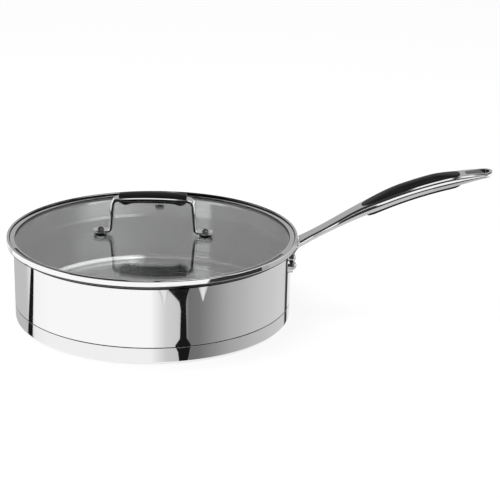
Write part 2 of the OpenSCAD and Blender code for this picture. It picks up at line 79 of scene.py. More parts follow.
# %% [markdown]
# The camera stands where the photographer's stood: a metre and a third away, a
# little above the lid and tipped down. Building its turn from two rotations keeps
# the two angles readable. The lens is worked out for a picture as wide as the sensor.

# %% Camera
camera_place = Vector((99.33, -1339.5, 525.86)) * MM
camera_down = math.radians(18.789)
camera_roll = math.radians(1.228)
bpy.ops.object.camera_add()
camera = bpy.context.object
camera.name = "camera"
camera.data.sensor_width = 36
camera.data.lens = 99.3
camera.matrix_world = (
    Matrix.Translation(camera_place)
    @ Matrix.Rotation(math.pi / 2 - camera_down, 4, "X")
    @ Matrix.Rotation(camera_roll, 4, "Z")
)
bpy.context.scene.camera = camera
bpy.context.scene.view_settings.view_transform = "Standard"
print("camera looks down", round(math.degrees(camera_down), 1), "degrees")

# %% [markdown]
# Most pieces of a pan are turned or spun: their shape is one outline, swept round
# an axis. By hand this is a vertex that is extruded from point to point and then
# spun. A corner with a radius is written as a third number, and its arc is worked
# out, so an outline has only the points that the drawing would have. A point is held
# just before and just after each arc. Smooth shading blends the round into the face
# beside it, and without these two points it would bend a whole flat face, such as
# the glass, into a lens.

# %% Outlines with rounded corners
ARC_STEPS = 6
HOLD = 0.15


def rounded(corners, steps=ARC_STEPS):
    """Points along an outline of (x, z) or (x, z, radius) corners, its ends left as they are."""
    points = []
    for i, corner in enumerate(corners):
        here = Vector(corner[:2])
        if len(corner) < 3 or i in (0, len(corners) - 1):
            points.append(here)
            continue
        back = (Vector(corners[i - 1][:2]) - here).normalized()
        ahead = (Vector(corners[i + 1][:2]) - here).normalized()
        half = math.acos(max(-1, min(1, back.dot(ahead)))) / 2
        centre = here + (back + ahead).normalized() * corner[2] / math.sin(half)
        first = here + back * corner[2] / math.tan(half) - centre
        last = here + ahead * corner[2] / math.tan(half) - centre
        turn = math.atan2(first.x * last.y - first.y * last.x, first.dot(last))
        points.append(centre + first + back * HOLD * corner[2])
        for step in range(steps + 1):
            points.append(centre + Matrix.Rotation(turn * step / steps, 2) @ first)
        points.append(centre + last + ahead * HOLD * corner[2])
    return points


def arc(x, z, radius, start, end, steps=ARC_STEPS):
    """Points along an arc round (x, z), from one angle in degrees to another."""
    angles = [math.radians(start + (end - start) * i / steps) for i in range(steps + 1)]
    return [Vector((x + radius * math.cos(a), z + radius * math.sin(a))) for a in angles]


def spread(x0, x1, steps):
    """Places at even distances, with both ends."""
    return [x0 + (x1 - x0) * i / steps for i in range(steps + 1)]


def eased(x, x0, x1, a, b):
    """A value that eases from a at x0 to b at x1."""
    share = min(1, max(0, (x - x0) / (x1 - x0)))
    return a + (b - a) * (1 - math.cos(math.pi * share)) / 2


# %% [markdown]
# An operator acts on whatever is selected, so a piece is picked alone before it is
# worked on. These few helpers are the hand movements that every piece below repeats.

# %% Drawing a line vertex by vertex
def pick(piece):
    """Selects one object alone and makes it the active one."""
    bpy.ops.object.select_all(action="DESELECT")
    piece.select_set(True)
    bpy.context.view_layer.objects.active = piece


def trace(name, points, fill=False):
    """Extrudes one vertex through a list of points in millimetres and leaves edit mode on."""
    points = [Vector(p) * MM for p in points]
    bpy.ops.object.select_all(action="DESELECT")
    bpy.ops.mesh.primitive_plane_add(size=MM, location=points[0])
    piece = bpy.context.object
    piece.name = name
    bpy.ops.object.mode_set(mode="EDIT")
    bpy.ops.mesh.select_mode(type="VERT")
    bpy.ops.mesh.select_all(action="SELECT")
    bpy.ops.mesh.merge(type="CENTER")
    for here, there in zip(points, points[1:]):
        bpy.ops.mesh.extrude_vertices_move(TRANSFORM_OT_translate={"value": there - here})
    if fill:
        bpy.ops.mesh.select_all(action="SELECT")
        bpy.ops.mesh.edge_face_add()
    return piece


def push(x, y, z):
    """Extrudes what is selected by a step in millimetres."""
    bpy.ops.mesh.extrude_region_move(TRANSFORM_OT_translate={"value": (x * MM, y * MM, z * MM)})


def settle(piece, angle=30, flat=False):
    """Closes seams, turns faces outwards, fixes the place and smooths the shading."""
    bpy.ops.object.mode_set(mode="EDIT")
    bpy.ops.mesh.select_all(action="SELECT")
    bpy.ops.mesh.remove_doubles(threshold=0.002 * MM)
    bpy.ops.mesh.normals_make_consistent(inside=False)
    bpy.ops.object.mode_set(mode="OBJECT")
    pick(piece)
    bpy.ops.object.transform_apply(location=True, rotation=True, scale=True)
    if not flat:
        bpy.ops.object.shade_smooth_by_angle(angle=math.radians(angle))
    return piece


# %% Spinning an outline into a turned piece
TURN_STEPS = 256


def turned(name, outline, centre=(0, 0), steps=TURN_STEPS):
    """Spins an outline of (radius, height) points round a vertical axis at centre."""
    x, y = centre
    piece = trace(name, [(x + r, y, z) for r, z in outline])
    bpy.ops.mesh.select_all(action="SELECT")
    bpy.ops.mesh.spin(steps=steps, angle=2 * math.pi, center=(x * MM, y * MM, 0), axis=(0, 0, 1))
    settle(piece)
    print(name, len(piece.data.polygons), "faces")
    return piece


# %% [markdown]
# The pan's body is drawn from one sheet: a flat floor, a tight corner, a straight
# wall and a lip that flares so that it pours cleanly. A lip as a sharp edge looks
# like paper, so it gets a full round. The wall steps in below the seam, where the
# base cap covers it.

# %% Pan body
SHEET = 1.2
CAP_SHEET = 0.6
FLOOR_CORNER = 9
LIP_HEIGHT = 2.6
LIP_ROUND = 0.6
SEAM_GAP = 0.8
SIDE_HOLD = 0.3
pan_r = wall_r - SHEET
body_low_r = wall_r - CAP_SHEET
floor_under_z = pan_low[2]
floor_z = floor_under_z + SHEET


def flare(radius):
    """The lip's curve, which leaves the wall gently and leans out more and more."""
    reach = lip_r - wall_r
    rise = LIP_HEIGHT - LIP_ROUND
    return [(radius + reach * share ** 2, pan_h - LIP_HEIGHT + rise * share)
            for share in spread(0, 1, 8)]


lip_mid = lip_r - SHEET / 2
body_outline = [
    *rounded([(0, floor_under_z), (body_low_r, floor_under_z, FLOOR_CORNER),
              (body_low_r, seam_z + SEAM_GAP)]),
    (wall_r, seam_z + SEAM_GAP),
    (wall_r, seam_z + SEAM_GAP + 0.2),
    (wall_r, pan_h - LIP_HEIGHT - SIDE_HOLD),
    *flare(wall_r),
    *arc(lip_mid, pan_h - LIP_ROUND, SHEET / 2, 0, 180)[1:-1],
    *flare(pan_r)[::-1],
    (pan_r, pan_h - LIP_HEIGHT - SIDE_HOLD),
    *rounded([(pan_r, pan_h / 2), (pan_r, floor_z, FLOOR_CORNER - SHEET), (0, floor_z)], 10)[1:],
]
pan_body = turned("pan_drum", body_outline)

# %% [markdown]
# The base cap is a shallow bowl pressed over the aluminium core. Its upper edge
# ends in the thin dark line that runs round the drum, so the cap stays a hair
# below the wall and its edge is rounded to catch a thread of light.

# %% Base cap
CAP_CORNER = 5
cap_outline = [
    *rounded([(0, 0), (wall_r, 0, CAP_CORNER), (wall_r, seam_z, 0.2), (body_low_r, seam_z)], 10),
    *rounded([(body_low_r, seam_z), (body_low_r, CAP_SHEET, CAP_CORNER - CAP_SHEET),
              (0, CAP_SHEET)], 8)[1:],
]
base_cap = turned("pan_base_cap", cap_outline)

# %% [markdown]
# The lid's ring is one folded sheet. From outside in, it has a slanted underside,
# an upright side, a round bead on top and a flat band that holds the glass. A long
# skirt below it centres the lid in the pan. The outline goes round the sheet once,
# out along its outer face and back along its inner one.

# %% Lid ring
RING_SHEET = 0.6
BEAD = 2.8
BEAD_RISE = 2
BAND = 5.4
CHIN = 2.4
SKIRT_GAP = 0.8
bead_in_r = ring_r - BEAD
opening_r = bead_in_r - BAND
band_top_z = ring_top_z - BEAD_RISE
skirt_r = pan_r - SKIRT_GAP
skirt_low_z = ring_low[2]
bead_r = ring_r - BEAD / 2
bead_z = ring_top_z - BEAD / 2
chin_r = ring_r - CHIN
ring_outline = [
    *rounded([
        (skirt_r - RING_SHEET, pan_h), (skirt_r - RING_SHEET, skirt_low_z, 0.25),
        (skirt_r, skirt_low_z, 0.25), (skirt_r, pan_h, 0.3), (chin_r, pan_h),
    ]),
    *arc(chin_r, pan_h + CHIN, CHIN, -90, 0, 10)[1:],
    (ring_r, pan_h + CHIN + SIDE_HOLD),
    (ring_r, bead_z - SIDE_HOLD),
    *arc(bead_r, bead_z, BEAD / 2, 0, 180, 16),
    *rounded([
        (bead_in_r, bead_z), (bead_in_r, band_top_z, 0.4), (opening_r, band_top_z, 0.25),
        (opening_r, band_top_z - RING_SHEET, 0.25),
        (bead_in_r + RING_SHEET, band_top_z - RING_SHEET),
    ])[1:],
    *arc(bead_r, bead_z, BEAD / 2 - RING_SHEET, 180, 0, 12),
    *arc(chin_r, pan_h + CHIN, CHIN - RING_SHEET, 0, -90, 8),
    (skirt_r - RING_SHEET, pan_h + RING_SHEET),
    (skirt_r - RING_SHEET, pan_h),
]
lid_ring = turned("lid_rim_ring", ring_outline)

# %% [markdown]
# The glass is a flat toughened disc. Its rim is hidden, but its edges are still
# ground round, because a razor edge would split light into lines that no real lid
# has. The silicone seal is a channel that the glass sits in, and shows as a thin
# black line inside the ring.

# %% Glass disc and its seal
SEAL = 0.4
SEAL_LIP = 0.3
SEAL_ROOM = 0.05
SEAL_WALL = 0.1
glass_outline = rounded([
    (0, glass_z), (glass_r, glass_z, 0.5), (glass_r, glass_top_z, 0.5), (0, glass_top_z),
])
lid_glass = turned("lid_glass_disc", glass_outline)
seal_in_r = opening_r - SEAL_LIP
seal_out_r = chin_r - SEAL_WALL
channel_r = glass_r + SEAL_WALL
seal_outline = [
    (seal_in_r, glass_z - SEAL), (seal_out_r, glass_z - SEAL),
    (seal_out_r, glass_top_z + SEAL), (seal_in_r, glass_top_z + SEAL),
    (seal_in_r, glass_top_z + SEAL_ROOM), (channel_r, glass_top_z + SEAL_ROOM),
    (channel_r, glass_z - SEAL_ROOM), (seal_in_r, glass_z - SEAL_ROOM),
    (seal_in_r, glass_z - SEAL),
]
lid_seal = turned("lid_glass_seal", seal_outline)

# %% [markdown]
# The long handle is a cast steel bar that leaves the wall as a straight, slim neck,
# thickens into the grip and bends down gently to a flat tip. Modelled in place, every
# cut would fight the slope. So it is modelled straight and level: an outline of its
# section is extruded station by station and resized at each, and a Curve modifier
# then bends the finished bar along the line that the real one follows.

# %% Bars with a changing section
def bar(name, section, stations):
    """Extrudes a filled section along X. A station is (x, width share, thickness share, lift)."""
    print(name, "has", len(stations), "stations")
    x, wide, thick, lift = stations[0]
    piece = trace(name, [(x, y, z) for z, y in section], fill=True)
    bpy.ops.transform.resize(value=(1, thick, wide), center_override=(x * MM, 0, 0))
    bpy.ops.transform.translate(value=(0, lift * MM, 0))
    for x1, wide1, thick1, lift1 in stations[1:]:
        push(x1 - x, -lift, 0)
        change = (1, thick1 / thick, wide1 / wide)
        bpy.ops.transform.resize(value=change, center_override=(x1 * MM, 0, 0))
        bpy.ops.transform.translate(value=(0, lift1 * MM, 0))
        x, wide, thick, lift = x1, wide1, thick1, lift1
    return settle(piece, flat=True)


def mirrored(half):
    """Closes half a section, drawn from top middle to bottom middle, with its mirror image."""
    return [*half, *[(-z, y) for z, y in reversed(half) if abs(z) > 0.001]]


# %% Bending a level bar along a line of the side view
def guide(points):
    """A flat curve through (x, height) points, to bend pieces along."""
    data = bpy.data.curves.new("guide", "CURVE")
    data.dimensions = "2D"
    line = data.splines.new("POLY")
    line.points.add(len(points) - 1)
    for place, (x, z) in zip(line.points, points):
        place.co = (x * MM, z * MM, 0, 1)
    made = bpy.data.objects.new("guide", data)
    bpy.context.scene.collection.objects.link(made)
    return made


def bend_and_stand(pieces, line):
    """Bends level pieces along the guide and stands them up; the guide is thrown away."""
    for piece in pieces:
        pick(piece)
        bender = piece.modifiers.new("bend", "CURVE")
        bender.object = line
        bpy.ops.object.modifier_apply(modifier="bend")
        piece.rotation_euler = (math.pi / 2, 0, 0)
        bpy.ops.object.transform_apply(rotation=True)
    bpy.data.objects.remove(line)


def cut(piece, tool, operation="DIFFERENCE"):
    """Applies a Boolean with a tool, which is then thrown away."""
    pick(piece)
    boolean = piece.modifiers.new("cut", "BOOLEAN")
    boolean.operation = operation
    boolean.solver = "EXACT"
    boolean.object = tool
    bpy.ops.object.modifier_apply(modifier="cut")
    bpy.data.objects.remove(tool)
    return piece


def cylinder(radius, z0, z1, centre=(0, 0), sides=TURN_STEPS):
    """A plain upright cylinder to cut with."""
    x, y = centre
    bpy.ops.object.select_all(action="DESELECT")
    bpy.ops.mesh.primitive_cylinder_add(
        vertices=sides, radius=radius * MM, depth=(z1 - z0) * MM,
        location=(x * MM, y * MM, (z0 + z1) / 2 * MM))
    bpy.ops.object.transform_apply(location=True)
    return bpy.context.object


# %% [markdown]
# The line of the handle is a straight neck that climbs at thirty degrees and then
# one long arc that ends nearly level. All places along the handle are measured from
# the pan's wall, and a small function turns them into distances along the bent line.

# %% The handle's line
NECK_SLOPE = math.radians(30)
TIP_SLOPE = math.radians(9)
NECK_RUN = 51.8
NECK_RISE = 0.8
NECK_MARK = 9
root_x = wall_r - 3
tip_x = box_mm("handle_frame")[1][0] - 0.4
neck_end_x = wall_r + NECK_RUN
bend_r = (tip_x - neck_end_x) / (math.sin(NECK_SLOPE) - math.sin(TIP_SLOPE))
neck_end_z = pan_h + NECK_RISE + (NECK_RUN - NECK_MARK) * math.tan(NECK_SLOPE)
neck_length = (neck_end_x - root_x) / math.cos(NECK_SLOPE)


def handle_slope(x):
    """The slope of the handle's line above a place x, as an angle."""
    return NECK_SLOPE if x <= neck_end_x else math.asin(
        max(-1, math.sin(NECK_SLOPE) - (x - neck_end_x) / bend_r))


def handle_height(x):
    """The height of the handle's line above a place x."""
    if x <= neck_end_x:
        return neck_end_z - (neck_end_x - x) * math.tan(NECK_SLOPE)
    return neck_end_z + bend_r * (math.cos(handle_slope(x)) - math.cos(NECK_SLOPE))


def along(x):
    """The distance along the handle's line from its root to a place x."""
    if x <= neck_end_x:
        return (x - root_x) / math.cos(NECK_SLOPE)
    return neck_length + bend_r * (NECK_SLOPE - handle_slope(x))


handle_points = [(x, handle_height(x)) for x in [root_x, *spread(neck_end_x - 2, tip_x + 6, 90)]]
print("the handle's line is", round(along(tip_x), 1), "mm long")

# %% The handle's thickness and width
NECK_THICK = 6.1
GRIP_THICK = 10.3
TIP_THICK = 4.4
NECK_HALF = 10
ROOT_EXTRA_HALF = 2
GRIP_HALF = 13
TIP_HALF = 12
TIP_ROUND = 9


def half_thick(x):
    """Half the handle's thickness, which swells into the grip and thins to the tip."""
    return (NECK_THICK / 2
            + eased(x, neck_end_x - 25, neck_end_x + 35, 0, (GRIP_THICK - NECK_THICK) / 2)
            - eased(x, tip_x - 46, tip_x + 4, 0, (GRIP_THICK - TIP_THICK) / 2))


def half_wide(x):
    """Half the handle's width, which ends in the round tip."""
    side = (NECK_HALF
            + eased(x, wall_r + 6, wall_r + 22, ROOT_EXTRA_HALF, 0)
            + eased(x, neck_end_x + 7, neck_end_x + 42, 0, GRIP_HALF - NECK_HALF)
            - eased(x, tip_x - 44, tip_x - TIP_ROUND, 0, GRIP_HALF - TIP_HALF))
    into = max(0, x - tip_x + TIP_ROUND) / TIP_ROUND
    return side * math.sqrt(max(0.0005, 1 - into ** 2))


# %% [markdown]
# The bar is flat on top. A steep chamfer runs along each upper edge, a short upright
# flank follows, and below it a wide bevel runs in to a narrower underside, with a
# soft round between each two. Every one of these faces mirrors another part of the
# room, and this is what draws the white, black and grey lines along the handle.

# %% Steel bar
TOP_FACE_HALF = 11.35
CHAMFER_DROP = 1.85
FLANK_LOW = -0.6
UNDERSIDE_HALF = 9.6
bar_half = mirrored(rounded([
    (0, GRIP_THICK / 2), (TOP_FACE_HALF, GRIP_THICK / 2, 0.6),
    (GRIP_HALF, GRIP_THICK / 2 - CHAMFER_DROP, 2), (GRIP_HALF, FLANK_LOW, 4),
    (UNDERSIDE_HALF, -GRIP_THICK / 2, 1.2), (0, -GRIP_THICK / 2),
], 5))
tip_angles = (12, 24, 36, 48, 58, 68, 77, 84, 89)
bar_places = [*spread(root_x, neck_end_x - 25, 8), *spread(neck_end_x - 22, tip_x - TIP_ROUND, 44),
              *[tip_x - TIP_ROUND * (1 - math.sin(math.radians(a))) for a in tip_angles]]
handle_bar = bar("handle_steel", bar_half, [
    (along(x), half_wide(x) / GRIP_HALF, 2 * half_thick(x) / GRIP_THICK, 0) for x in bar_places])

# %% [markdown]
# Two silicone pads are moulded into pockets of the bar. The top one is a long
# crowned pad with round ends, the under one a low ridge. Each pocket is cut with
# the pad's own outline grown by a quarter of a millimetre, which leaves the fine
# dark groove that shows round the real pads.

# %% Silicone pads of the handle
PAD_EDGE = 2
PAD_RIM = 0.7
PAD_CROWN = 4.4
PAD_NOSE = 12
PAD_TAIL = 7
BLUNT = 2.7
GROOVE = 0.25
pad_low, pad_high = box_mm("handle_top_grip")
under_low, under_high = box_mm("handle_under_grip")


def on_line(x, side):
    """The place on the handle's line square to a place on its top (1) or under side (-1)."""
    return x + side * half_thick(x) * math.sin(handle_slope(x))


pad_start = on_line(pad_low[0], 1)
pad_end = on_line(pad_high[0], 1)


def blunt_end(into, length):
    """The share of its full width that a pad has at a distance into its blunt, round end."""
    left = 1 - min(1, max(0, into / length))
    return max(0.02, 1 - left ** BLUNT) ** (1 / BLUNT)


def pad_half(x, grow=0):
    """Half the top pad's width."""
    ends = blunt_end(x - pad_start + grow, PAD_NOSE) * blunt_end(pad_end + grow - x, PAD_TAIL)
    return (half_wide(x) - PAD_EDGE) * ends + grow


def pad_crown(x):
    """How far the top pad stands above its pocket's rim."""
    return (eased(x, pad_start - 6, pad_start + 40, PAD_RIM, PAD_CROWN)
            - eased(x, pad_end - 28, pad_end + 4, 0, PAD_CROWN - PAD_RIM))


def end_places(x0, x1, nose, tail):
    """Places along a pad, close together at its round ends."""
    ends = [1 - math.cos(math.radians(a)) for a in (4, 12, 22, 32, 43, 54, 66, 78)]
    return [*[x0 + nose * end for end in ends], *spread(x0 + nose, x1 - tail, 34),
            *[x1 - tail * end for end in reversed(ends)]]


crown_half = mirrored([(0, 1), (0.3, 0.97), (0.55, 0.87), (0.74, 0.7), (0.87, 0.48), (0.95, 0.24),
                       (0.99, 0.06), (1, 0), (1, -0.2), (0, -0.2)])
top_pad = bar("handle_top_pad", crown_half, [
    (along(x), pad_half(x), pad_crown(x), half_thick(x))
    for x in end_places(pad_start, pad_end, PAD_NOSE, PAD_TAIL)])
top_pocket = bar("top_pocket", mirrored([(0, 2), (1, 2), (1, -0.5), (0, -0.5)]), [
    (along(x), pad_half(x, GROOVE), 1, half_thick(x))
    for x in end_places(pad_start - GROOVE, pad_end + GROOVE, PAD_NOSE, PAD_TAIL)])
cut(handle_bar, top_pocket)

# %% Silicone ridge under the handle
UNDER_HALF = 9.1
UNDER_RIM = 0.4
UNDER_CROWN = 2.3
UNDER_NOSE = 4
under_start = on_line(under_low[0], -1)
under_end = on_line(under_high[0], -1)


def under_half(x, grow=0):
    """Half the under pad's width."""
    start = blunt_end(x - under_start + grow, UNDER_NOSE)
    end = blunt_end(under_end + grow - x, UNDER_NOSE)
    return UNDER_HALF * (start * end) + grow


def under_crown(x):
    """How far the ridge stands out below the handle."""
    return (eased(x, under_start - 3, under_start + 8, UNDER_RIM, UNDER_CROWN)
            - eased(x, under_end - 8, under_end + 3, 0, UNDER_CROWN - UNDER_RIM))


ridge_half = mirrored([(0, 0.4), (1, 0.4), (1, -0.5), (0.98, -0.7), (0.93, -0.86),
                       (0.82, -0.96), (0.6, -1), (0, -1)])
under_pad = bar("handle_under_pad", ridge_half, [
    (along(x), under_half(x), under_crown(x), -half_thick(x))
    for x in end_places(under_start, under_end, UNDER_NOSE, UNDER_NOSE)])
under_pocket = bar("under_pocket", mirrored([(0, 0.5), (1, 0.5), (1, -2), (0, -2)]), [
    (along(x), under_half(x, GROOVE), 1, -half_thick(x))
    for x in end_places(under_start - GROOVE, under_end + GROOVE, UNDER_NOSE, UNDER_NOSE)])
cut(handle_bar, under_pocket)
bend_and_stand([handle_bar, top_pad, under_pad], guide(handle_points))
print("bar", len(handle_bar.data.polygons), "faces")

# %% [markdown]
# The bar grows out of a curved web on a small plate that hugs the wall. The plate
# starts as a flat blank that is too deep. A cylinder round the pan's axis gives it its
# outer face, and another one, in the next cell, its inner face, so it fits the drum
# exactly. The web is a thick fillet that carries the neck down to it.

# %% Flange and web
FLANGE_THICK = 3.2
FLANGE_HALF = 21
FLANGE_HEIGHT = 15
RIVET_DROP = 21.2
BEHIND_WALL = 8
BLANK_DEPTH = 14
WEB_HALF = 7
WEB_FILLET = 16
WEB_REACH = 32
flange_r = wall_r + FLANGE_THICK
rivet_z = pan_h - RIVET_DROP


def slab(name, outline, step):
    """A plate, whose outline is extruded by a step."""
    piece = trace(name, outline, fill=True)
    push(*step)
    return settle(piece, flat=True)


plate_end = FLANGE_HEIGHT / 2
plate_side = FLANGE_HALF - plate_end
plate_outline = [*arc(plate_side, rivet_z, plate_end, -90, 90, 12),
                 *arc(-plate_side, rivet_z, plate_end, 90, 270, 12)]
blank_x = wall_r - BEHIND_WALL
flange = slab("flange", [(blank_x, y, z) for y, z in plate_outline], (BLANK_DEPTH, 0, 0))
cut(flange, cylinder(flange_r, 0, pan_h), "INTERSECT")

neck_low = NECK_THICK / 2 / math.cos(NECK_SLOPE)
web_x = wall_r + WEB_REACH
web_outline = rounded([
    (wall_r - 2, rivet_z), (flange_r, rivet_z),
    (flange_r, handle_height(flange_r) - neck_low, WEB_FILLET),
    (web_x, handle_height(web_x) - neck_low), (web_x, handle_height(web_x) - 0.5),
    (wall_r - 2, handle_height(wall_r - 2) - 0.5),
], 10)
web = slab("web", [(x, -WEB_HALF, z) for x, z in web_outline], (0, 2 * WEB_HALF, 0))
cut(handle_bar, web, "UNION")
cut(handle_bar, flange, "UNION")

# %% [markdown]
# The neck passes close over the rim, and the lid has to come straight up past it. So
# the bar is cut with three cylinders: the wall's own, one a little wider than the lip,
# and one a little wider than the lid's ring, which reaches up past the whole handle.

# %% Room for the wall, the lip and the lid's path
LIP_ROOM = 0.45
LID_ROOM = 0.9
cut(handle_bar, cylinder(wall_r, 0, pan_h))
cut(handle_bar, cylinder(lip_r + LIP_ROOM, pan_h - LIP_HEIGHT - LID_ROOM, pan_h + 40))
cut(handle_bar, cylinder(ring_r + LID_ROOM, pan_h - LID_ROOM, 2 * tip_x))
print("the lid passes the handle with", LID_ROOM, "mm to spare")

# %% [markdown]
# The hole at the tip is shaped like a drop, so a hook slides into its narrow end.
# Its outline is two circles and the lines that touch both. After the cut its rims
# are bevelled, because a cast handle has no sharp hole.

# %% Hanging slot
SLOT_LENGTH = 24
SLOT_WIDE = 15.4
SLOT_NARROW = 10.5
SLOT_EDGE = 3.3
SLOT_CUT = 30
wide_r = SLOT_WIDE / 2
narrow_r = SLOT_NARROW / 2
slot_x1 = tip_x - SLOT_EDGE - wide_r
slot_x0 = tip_x - SLOT_EDGE - SLOT_LENGTH + narrow_r
lean = math.degrees(math.asin((wide_r - narrow_r) / (slot_x1 - slot_x0)))
slot_outline = [*arc(slot_x1, 0, wide_r, -90 - lean, 90 + lean, 24),
                *arc(slot_x0, 0, narrow_r, 90 + lean, 270 - lean, 14)]
slot_low_z = handle_height(slot_x1) - SLOT_CUT / 2
cut(handle_bar, slab("slot_tool", [(x, y, slot_low_z) for x, y in slot_outline], (0, 0, SLOT_CUT)))


def soften_edges(piece, test, width, sharp=50):
    """Bevels the sharp edges whose two ends both pass a test of their place in millimetres."""
    pick(piece)
    bpy.ops.object.mode_set(mode="EDIT")
    bpy.ops.mesh.select_mode(type="EDGE")
    bpy.ops.mesh.select_all(action="DESELECT")
    bpy.ops.mesh.edges_select_sharp(sharpness=math.radians(sharp))
    bpy.ops.object.mode_set(mode="OBJECT")
    points = piece.data.vertices
    count = 0
    for edge in piece.data.edges:
        edge.select = edge.select and all(test(points[v].co / MM) for v in edge.vertices)
        count += edge.select
    bpy.ops.object.mode_set(mode="EDIT")
    bpy.ops.mesh.select_mode(type="EDGE")
    bpy.ops.mesh.bevel(offset=width * MM, segments=2, affect="EDGES", clamp_overlap=True)
    bpy.ops.mesh.select_mode(type="VERT")
    bpy.ops.object.mode_set(mode="OBJECT")
    print(piece.name, "softened", count, "edges")


# %% Soft rims on the slot and the flange
NEAR = 0.3


def near_slot(point):
    within = slot_x0 - narrow_r - NEAR < point.x < slot_x1 + wide_r + NEAR
    return within and abs(point.y) < wide_r + NEAR


def on_plate(point):
    low = point.z < rivet_z + plate_end + NEAR and point.x < flange_r + NEAR
    return low and abs(point.y) > WEB_HALF + 1


soften_edges(handle_bar, near_slot, 0.5)
soften_edges(handle_bar, on_plate, 0.6)
settle(handle_bar, 32)
settle(top_pad, 50)
settle(under_pad, 50)

# %% [markdown]
# The lid's handle is one strip of steel: two feet, two legs that lean in and a bar
# with a slight bow. It is modelled as a flat strip with rounded ends and bent along
# its centre line, as the real one is on a press, so its thickness stays true
# through every bend. It is thin at the feet and heavier in the legs and the bar, and
# a bevel along its upper edges catches the light as one clear white line.

# %% The strap's line
STRAP_HALF = 7.15
STRAP_THICK = 1.8
FOOT_CORNER = 5
LEG_FOOT_X = 43.8
LEG_TOP_X = 41
STRAP_HEIGHT = 36.6
BAR_BOW = 1.8
FOOT_BEND = 4.5
TOP_BEND = 5.5
gasket_low_z, foot_z = [corner[2] for corner in box_mm("foot_gaskets")]
foot_end_x = box_mm("lid_handle")[1][0]
foot_line = foot_z + STRAP_THICK / 2
bar_z = glass_top_z + STRAP_HEIGHT
bar_x = LEG_TOP_X - STRAP_THICK / 2
bar_end_x = bar_x - TOP_BEND - 0.5


def bow_height(x):
    """The height of the bar's middle line, which bows up a little."""
    return bar_z + BAR_BOW * (1 - (x / bar_x) ** 2)


left_half = rounded([
    (-foot_end_x, foot_line), (-(LEG_FOOT_X - STRAP_THICK / 2), foot_line, FOOT_BEND),
    (-bar_x, bar_z, TOP_BEND), (-bar_end_x, bow_height(bar_end_x)),
], 10)
strap_points = [
    *left_half,
    *[Vector((x, bow_height(x))) for x in spread(-bar_end_x, bar_end_x, 24)[1:-1]],
    *[Vector((-p.x, p.y)) for p in reversed(left_half)],
]
distances = [0]
for here, there in zip(strap_points, strap_points[1:]):
    distances.append(distances[-1] + (there - here).length)
strap_length = distances[-1]
strap_mid = strap_length / 2
print("the strap is", round(strap_length, 1), "mm long before it is bent")

# %% Strap
STRAP_BEVEL = 0.9
BEVEL_DROP = 0.45
LEG_SHARE = 2
LEG_SIDE = LEG_SHARE * STRAP_THICK / 2
foot_flat = foot_end_x - LEG_FOOT_X - FOOT_BEND
strap_half = mirrored(rounded([
    (0, STRAP_THICK / 2), (STRAP_HALF - STRAP_BEVEL, STRAP_THICK / 2, 0.2),
    (STRAP_HALF, STRAP_THICK / 2 - BEVEL_DROP, 0.2), (STRAP_HALF, -STRAP_THICK / 2, 0.35),
    (0, -STRAP_THICK / 2),
], 4))
corner_places = [FOOT_CORNER * (1 - math.cos(math.radians(a))) for a in range(0, 90, 12)]
strap_places = sorted({
    *corner_places, *distances[1:-1], *[strap_length - place for place in corner_places]})


def foot_share(place):
    """The strip's width near its ends, where the corners are round."""
    into = min(FOOT_CORNER, place, strap_length - place)
    drop = FOOT_CORNER - math.sqrt(FOOT_CORNER ** 2 - (FOOT_CORNER - into) ** 2)
    return (STRAP_HALF - drop) / STRAP_HALF


def leg_share(place):
    """The strip's thickness: thin at the feet, and heavier in the legs and the bar."""
    return eased(min(place, strap_length - place), foot_flat, foot_flat + 8, 1, LEG_SHARE)


strap = bar("lid_strap", strap_half, [
    (place, foot_share(place), leg_share(place), 0) for place in strap_places])

# %% [markdown]
# Two silicone pads are moulded on the bar. The top one is crowned and its edges are
# soft. The under one thickens into a lobe near each end, which keeps the fingers
# off the hot legs. They are modelled on the same straight line as the strap, so the
# same bend seats them on it.

# %% Pads on the bar
PAD_LENGTH = 68
PAD_HALF = 7.4
TOP_PAD_SHARE = 0.85
TOP_PAD = 4.2
TOP_CROWN = 0.7
UNDER_PAD = 2.2
LOBE = 2
LOBE_X = 28
LOBE_SPREAD = 5
pad_end_shares = [(0, 0.93, 0.8), (0.15, 0.97, 0.92), (0.5, 1, 1)]


def pad_stations(thickness, lift, width=1):
    """Stations of a pad whose thickness depends on the distance from its middle."""
    ends = [(-PAD_LENGTH / 2 + d, wide, thick) for d, wide, thick in pad_end_shares]
    inner = [(x, 1, 1) for x in spread(-PAD_LENGTH / 2 + 1.5, PAD_LENGTH / 2 - 1.5, 44)]
    far = [(-d, wide, thick) for d, wide, thick in reversed(ends)]
    return [(strap_mid + x, width * wide, thick * thickness(abs(x)), lift)
            for x, wide, thick in [*ends, *inner, *far]]


def top_pad_thick(x):
    """The top pad's thickness, with a crown in its middle."""
    return TOP_PAD + TOP_CROWN * (1 - (2 * x / PAD_LENGTH) ** 2)


def under_pad_thick(x):
    """The under pad's thickness, with a lobe near each end."""
    lobe = LOBE * math.exp(-((x - LOBE_X) / LOBE_SPREAD) ** 2)
    return eased(x, LOBE_X, PAD_LENGTH / 2, UNDER_PAD, 0.5) + lobe


soft_half = [(PAD_HALF * share, height) for share, height in (
    (0, 1), (0.35, 0.985), (0.62, 0.93), (0.8, 0.84), (0.92, 0.68), (0.98, 0.45), (1, 0.2), (1, 0),
    (0, 0))]
bar_top_pad = bar("lid_top_pad", mirrored(soft_half),
                  pad_stations(top_pad_thick, LEG_SIDE, TOP_PAD_SHARE))
bar_under_pad = bar("lid_under_pad", mirrored([(z, -y) for z, y in soft_half]),
                    pad_stations(under_pad_thick, -LEG_SIDE))
bend_and_stand([strap, bar_top_pad, bar_under_pad], guide(strap_points))

# %% [markdown]
# The screw holes in the feet are drilled after the bend, because a hole that is bent
# along with the strip would no longer be round or upright.

